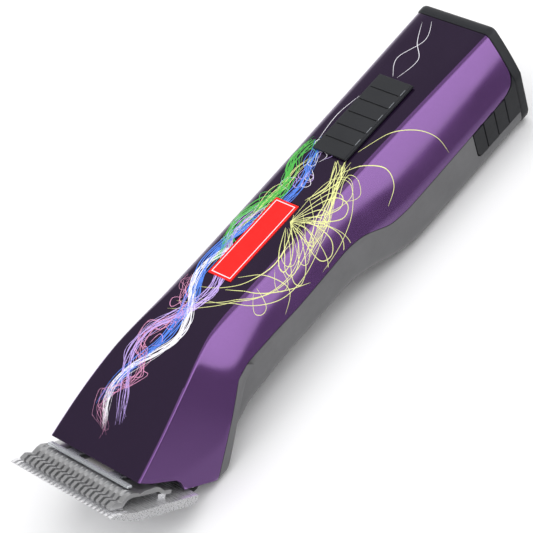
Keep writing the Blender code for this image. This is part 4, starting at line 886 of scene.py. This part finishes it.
def make_screw(name, origin, downwards, length, frame_matrix, body):
    """A dome-edged screw with a six-sided socket and a ridged shank."""
    profile = [(0.0, length), (0.7, length), (SCREW_R * 0.86, length - 0.6)]
    for k in range(int((length - 1.2) / THREAD_PITCH)):
        along = length - 0.9 - THREAD_PITCH * k
        profile += [(THREAD_ROOT, along), (SCREW_R, along - 0.28), (THREAD_ROOT, along - 0.56)]
    profile += [(SCREW_R, 0.0), (SCREW_HEAD_R, 0.0), (SCREW_HEAD_R, -0.9), (SCREW_HEAD_R * 0.94, -1.2),
                (SCREW_HEAD_R * 0.78, -1.42), (SCREW_HEAD_R * 0.6, -SCREW_HEAD), (0.0, -SCREW_HEAD)]
    bm = bmesh.new()
    rings = []
    for radius, along in profile:
        if radius:
            rings.append([bm.verts.new((radius * math.cos(2 * math.pi * k / SCREW_SIDES),
                                        radius * math.sin(2 * math.pi * k / SCREW_SIDES), along))
                          for k in range(SCREW_SIDES)])
        else:
            rings.append([bm.verts.new((0, 0, along))] * SCREW_SIDES)
    for first, second in zip(rings, rings[1:]):
        for k in range(SCREW_SIDES):
            after = (k + 1) % SCREW_SIDES
            corners = dict.fromkeys((first[k], first[after], second[after], second[k]))
            bm.faces.new(list(corners))
    turn = Matrix.Rotation(math.pi, 4, "X") if downwards else Matrix.Identity(4)
    place = frame_matrix @ Matrix.Translation(origin) @ turn
    mesh = finish_mesh(bm, name, place)
    hexagon = [(SOCKET_R * math.cos(math.pi * k / 3), SOCKET_R * math.sin(math.pi * k / 3)) for k in range(6)]
    socket = prisms("socket", [hexagon], -SCREW_HEAD - 0.5, -SCREW_HEAD / 2, "Z", place)
    add_piece(f"{name}_fine", carve(name, mesh, [("DIFFERENCE", socket)]), LOOKS["zinc_plate"], body,
              [name], 0.0)


def make_screws():
    """The four housing screws, the two head screws and the two blade screws."""
    for side, name in ((-1, "right"), (1, "left")):
        for end, (x, y, seat) in HOUSING_SCREWS.items():
            make_screw(f"housing_screw_{end}_{name}", (x, side * y, seat - 0.3), False, HOUSING_SCREW,
                       BODY_FRAME, "housing")
        d, y, h = HEAD_SCREW_PLACE
        make_screw(f"head_screw_{name}", (d, side * y, h), False, SHORT_SCREW, BLADE_FRAME, "housing")
        make_screw(f"blade_screw_{name}", (BLADE_SCREW_D, side * BLADE_SCREW_Y, BLADE_SCREW_SEAT), True,
                   SHORT_SCREW, BLADE_FRAME, "blade_set")


def make_coil(name, start, end, radius, frame_matrix, body, pressed_end):
    """A round-wire compression spring between a start and an end point."""
    start, end = Vector(start), Vector(end)
    turn = Vector((0, 0, 1)).rotation_difference(end - start)
    points = [start + (end - start) * k / (COIL_TURNS * COIL_STEPS)
              + turn @ Vector((radius * math.cos(2 * math.pi * k / COIL_STEPS),
                               radius * math.sin(2 * math.pi * k / COIL_STEPS), 0))
              for k in range(COIL_TURNS * COIL_STEPS + 1)]
    bm = bmesh.new()
    rings = []
    for k, point in enumerate(points):
        along = (points[min(k + 1, len(points) - 1)] - points[max(k - 1, 0)]).normalized()
        out = (point - start).cross(end - start).cross(end - start).normalized()
        across = along.cross(out).normalized()
        out = across.cross(along)
        rings.append([bm.verts.new(point + COIL_WIRE * (out * math.cos(2 * math.pi * j / COIL_SIDES)
                                                        + across * math.sin(2 * math.pi * j / COIL_SIDES)))
                      for j in range(COIL_SIDES)])
    for first, second in zip(rings, rings[1:]):
        for j in range(COIL_SIDES):
            after = (j + 1) % COIL_SIDES
            bm.faces.new((first[j], first[after], second[after], second[j]))
    bm.faces.new(rings[0])
    bm.faces.new(rings[-1])
    spring = add_piece(f"{name}_fine", finish_mesh(bm, name, frame_matrix), LOOKS["ground_steel"], body,
                       [name], 0.0, 50)
    fixed, moving = frame_matrix @ start, frame_matrix @ end
    if pressed_end == "start":
        fixed, moving = moving, fixed
    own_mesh(spring)


def make_coils():
    """The springs behind the blade release and behind both side buttons."""
    make_coil("blade_release_spring", (RELEASE_COIL_D, 0, RELEASE_COIL_H[0]),
              (RELEASE_COIL_D, 0, RELEASE_COIL_H[1]), 1.2, BLADE_FRAME, "housing", "start")
    for side, name in ((-1, "right"), (1, "left")):
        spring = f"release_spring_{name}"
        make_coil(spring, (SPRING_X, side * 15.0, SPRING_Z), (SPRING_X, side * 17.7, SPRING_Z), 1.6,
                  BODY_FRAME, "battery_pack", "end")


# ---------------------------------------------------------------- camera, light and floor

def make_camera():
    """The calibrated viewpoint: azimuth, elevation and roll about a point above the body."""
    azimuth, elevation, roll = (math.radians(v) for v in CAMERA_ANGLES)
    back = Vector((math.sin(azimuth) * math.cos(elevation), -math.cos(azimuth) * math.cos(elevation),
                   math.sin(elevation)))
    level = Vector((0, 0, 1)).cross(back).normalized()
    rise = back.cross(level)
    right = math.cos(roll) * level + math.sin(roll) * rise
    up = math.cos(roll) * rise - math.sin(roll) * level
    data = bpy.data.cameras.new("camera")
    data.lens, data.sensor_width = CAMERA_LENS, CAMERA_SENSOR
    data.clip_start, data.clip_end = CAMERA_CLIP
    camera = bpy.data.objects.new("camera", data)
    bpy.context.scene.collection.objects.link(camera)
    turn = Matrix((right, up, back)).transposed().to_4x4()
    target = BODY_FRAME @ Vector(CAMERA_TARGET)
    offset = back * CAMERA_DISTANCE + right * CAMERA_SHIFT[0] - up * CAMERA_SHIFT[1]
    camera.matrix_world = Matrix.Translation(target + offset * MM) @ turn
    bpy.context.scene.camera = camera


def softbox(name, direction, distance, size, power):
    """A square area light at a direction and distance from the body, facing it, that doesn't mirror."""
    data = bpy.data.lights.new(name, "AREA")
    data.shape, data.size, data.energy = "SQUARE", size, power
    light = bpy.data.objects.new(name, data)
    bpy.context.scene.collection.objects.link(light)
    away = Vector(direction).normalized()
    light.location = Vector((0, 0, 0.02)) + away * distance
    light.rotation_mode = "QUATERNION"
    light.rotation_quaternion = (-away).to_track_quat("-Z", "Y")
    light.visible_glossy = False


def make_stage():
    """A pale floor, and the studio round it."""
    material, tree, shader = new_material("pale_floor", (0.90, 0.90, 0.91), 0.7)
    tone = blend_colours(tree, place_noise(tree, 3.0), (0.89, 0.89, 0.90), (0.92, 0.92, 0.93))
    tree.links.new(tone, shader.inputs["Base Color"])
    bm = bmesh.new()
    bmesh.ops.create_grid(bm, x_segments=8, y_segments=8, size=FLOOR_HALF)
    floor = bpy.data.objects.new("floor", finish_mesh(bm, "floor", Matrix.Identity(4)))
    floor.data.materials.append(material)
    floor.visible_glossy = False
    bpy.context.scene.collection.objects.link(floor)
    make_studio()


def make_studio():
    """A tent of bright walls with a dim ceiling, and a large overhead fill that doesn't mirror."""
    world = bpy.data.worlds.new("studio")
    world.use_nodes = True
    tree = world.node_tree
    place = tree.nodes.new("ShaderNodeTexCoord")
    split = tree.nodes.new("ShaderNodeSeparateXYZ")
    height = tree.nodes.new("ShaderNodeMapRange")
    height.inputs["From Min"].default_value = -1.0
    bands = tree.nodes.new("ShaderNodeValToRGB")
    tree.links.new(place.outputs["Generated"], split.inputs["Vector"])
    tree.links.new(split.outputs["Z"], height.inputs["Value"])
    tree.links.new(height.outputs["Result"], bands.inputs["Fac"])
    ramp = bands.color_ramp
    while len(ramp.elements) < len(TENT_BANDS):
        ramp.elements.new(0.5)
    for element, (rise, grey) in zip(ramp.elements, TENT_BANDS):
        element.position = (rise + 1) / 2
        element.color = (grey, grey, grey, 1)
    tree.links.new(bands.outputs["Color"], tree.nodes["Background"].inputs["Color"])
    bpy.context.scene.world = world
    bpy.context.scene.view_settings.view_transform = "Standard"
    softbox("overhead_fill", (0.05, -0.15, 1.0), 1.1, 1.6, FILL_POWER)


make_camera()
make_stage()
make_shells()
make_seam_shade_strip()
make_line_art()
make_slider()
make_badge()
make_end_cap()
for side, name in ((-1, "right"), (1, "left")):
    make_side_button(side, name)
make_comb()
make_cutter()
make_screws()
make_coils()
slots = {row["node"]: row["material_slot"] for row in frame["record"]["subparts"]}
for node, part in frame["nodes"].items():
    part.data.materials.clear()
    part.data.materials.append(LOOKS[slots[node]])
    if node in CRISP_NODES:
        soften(part, CRISP_NODES[node])
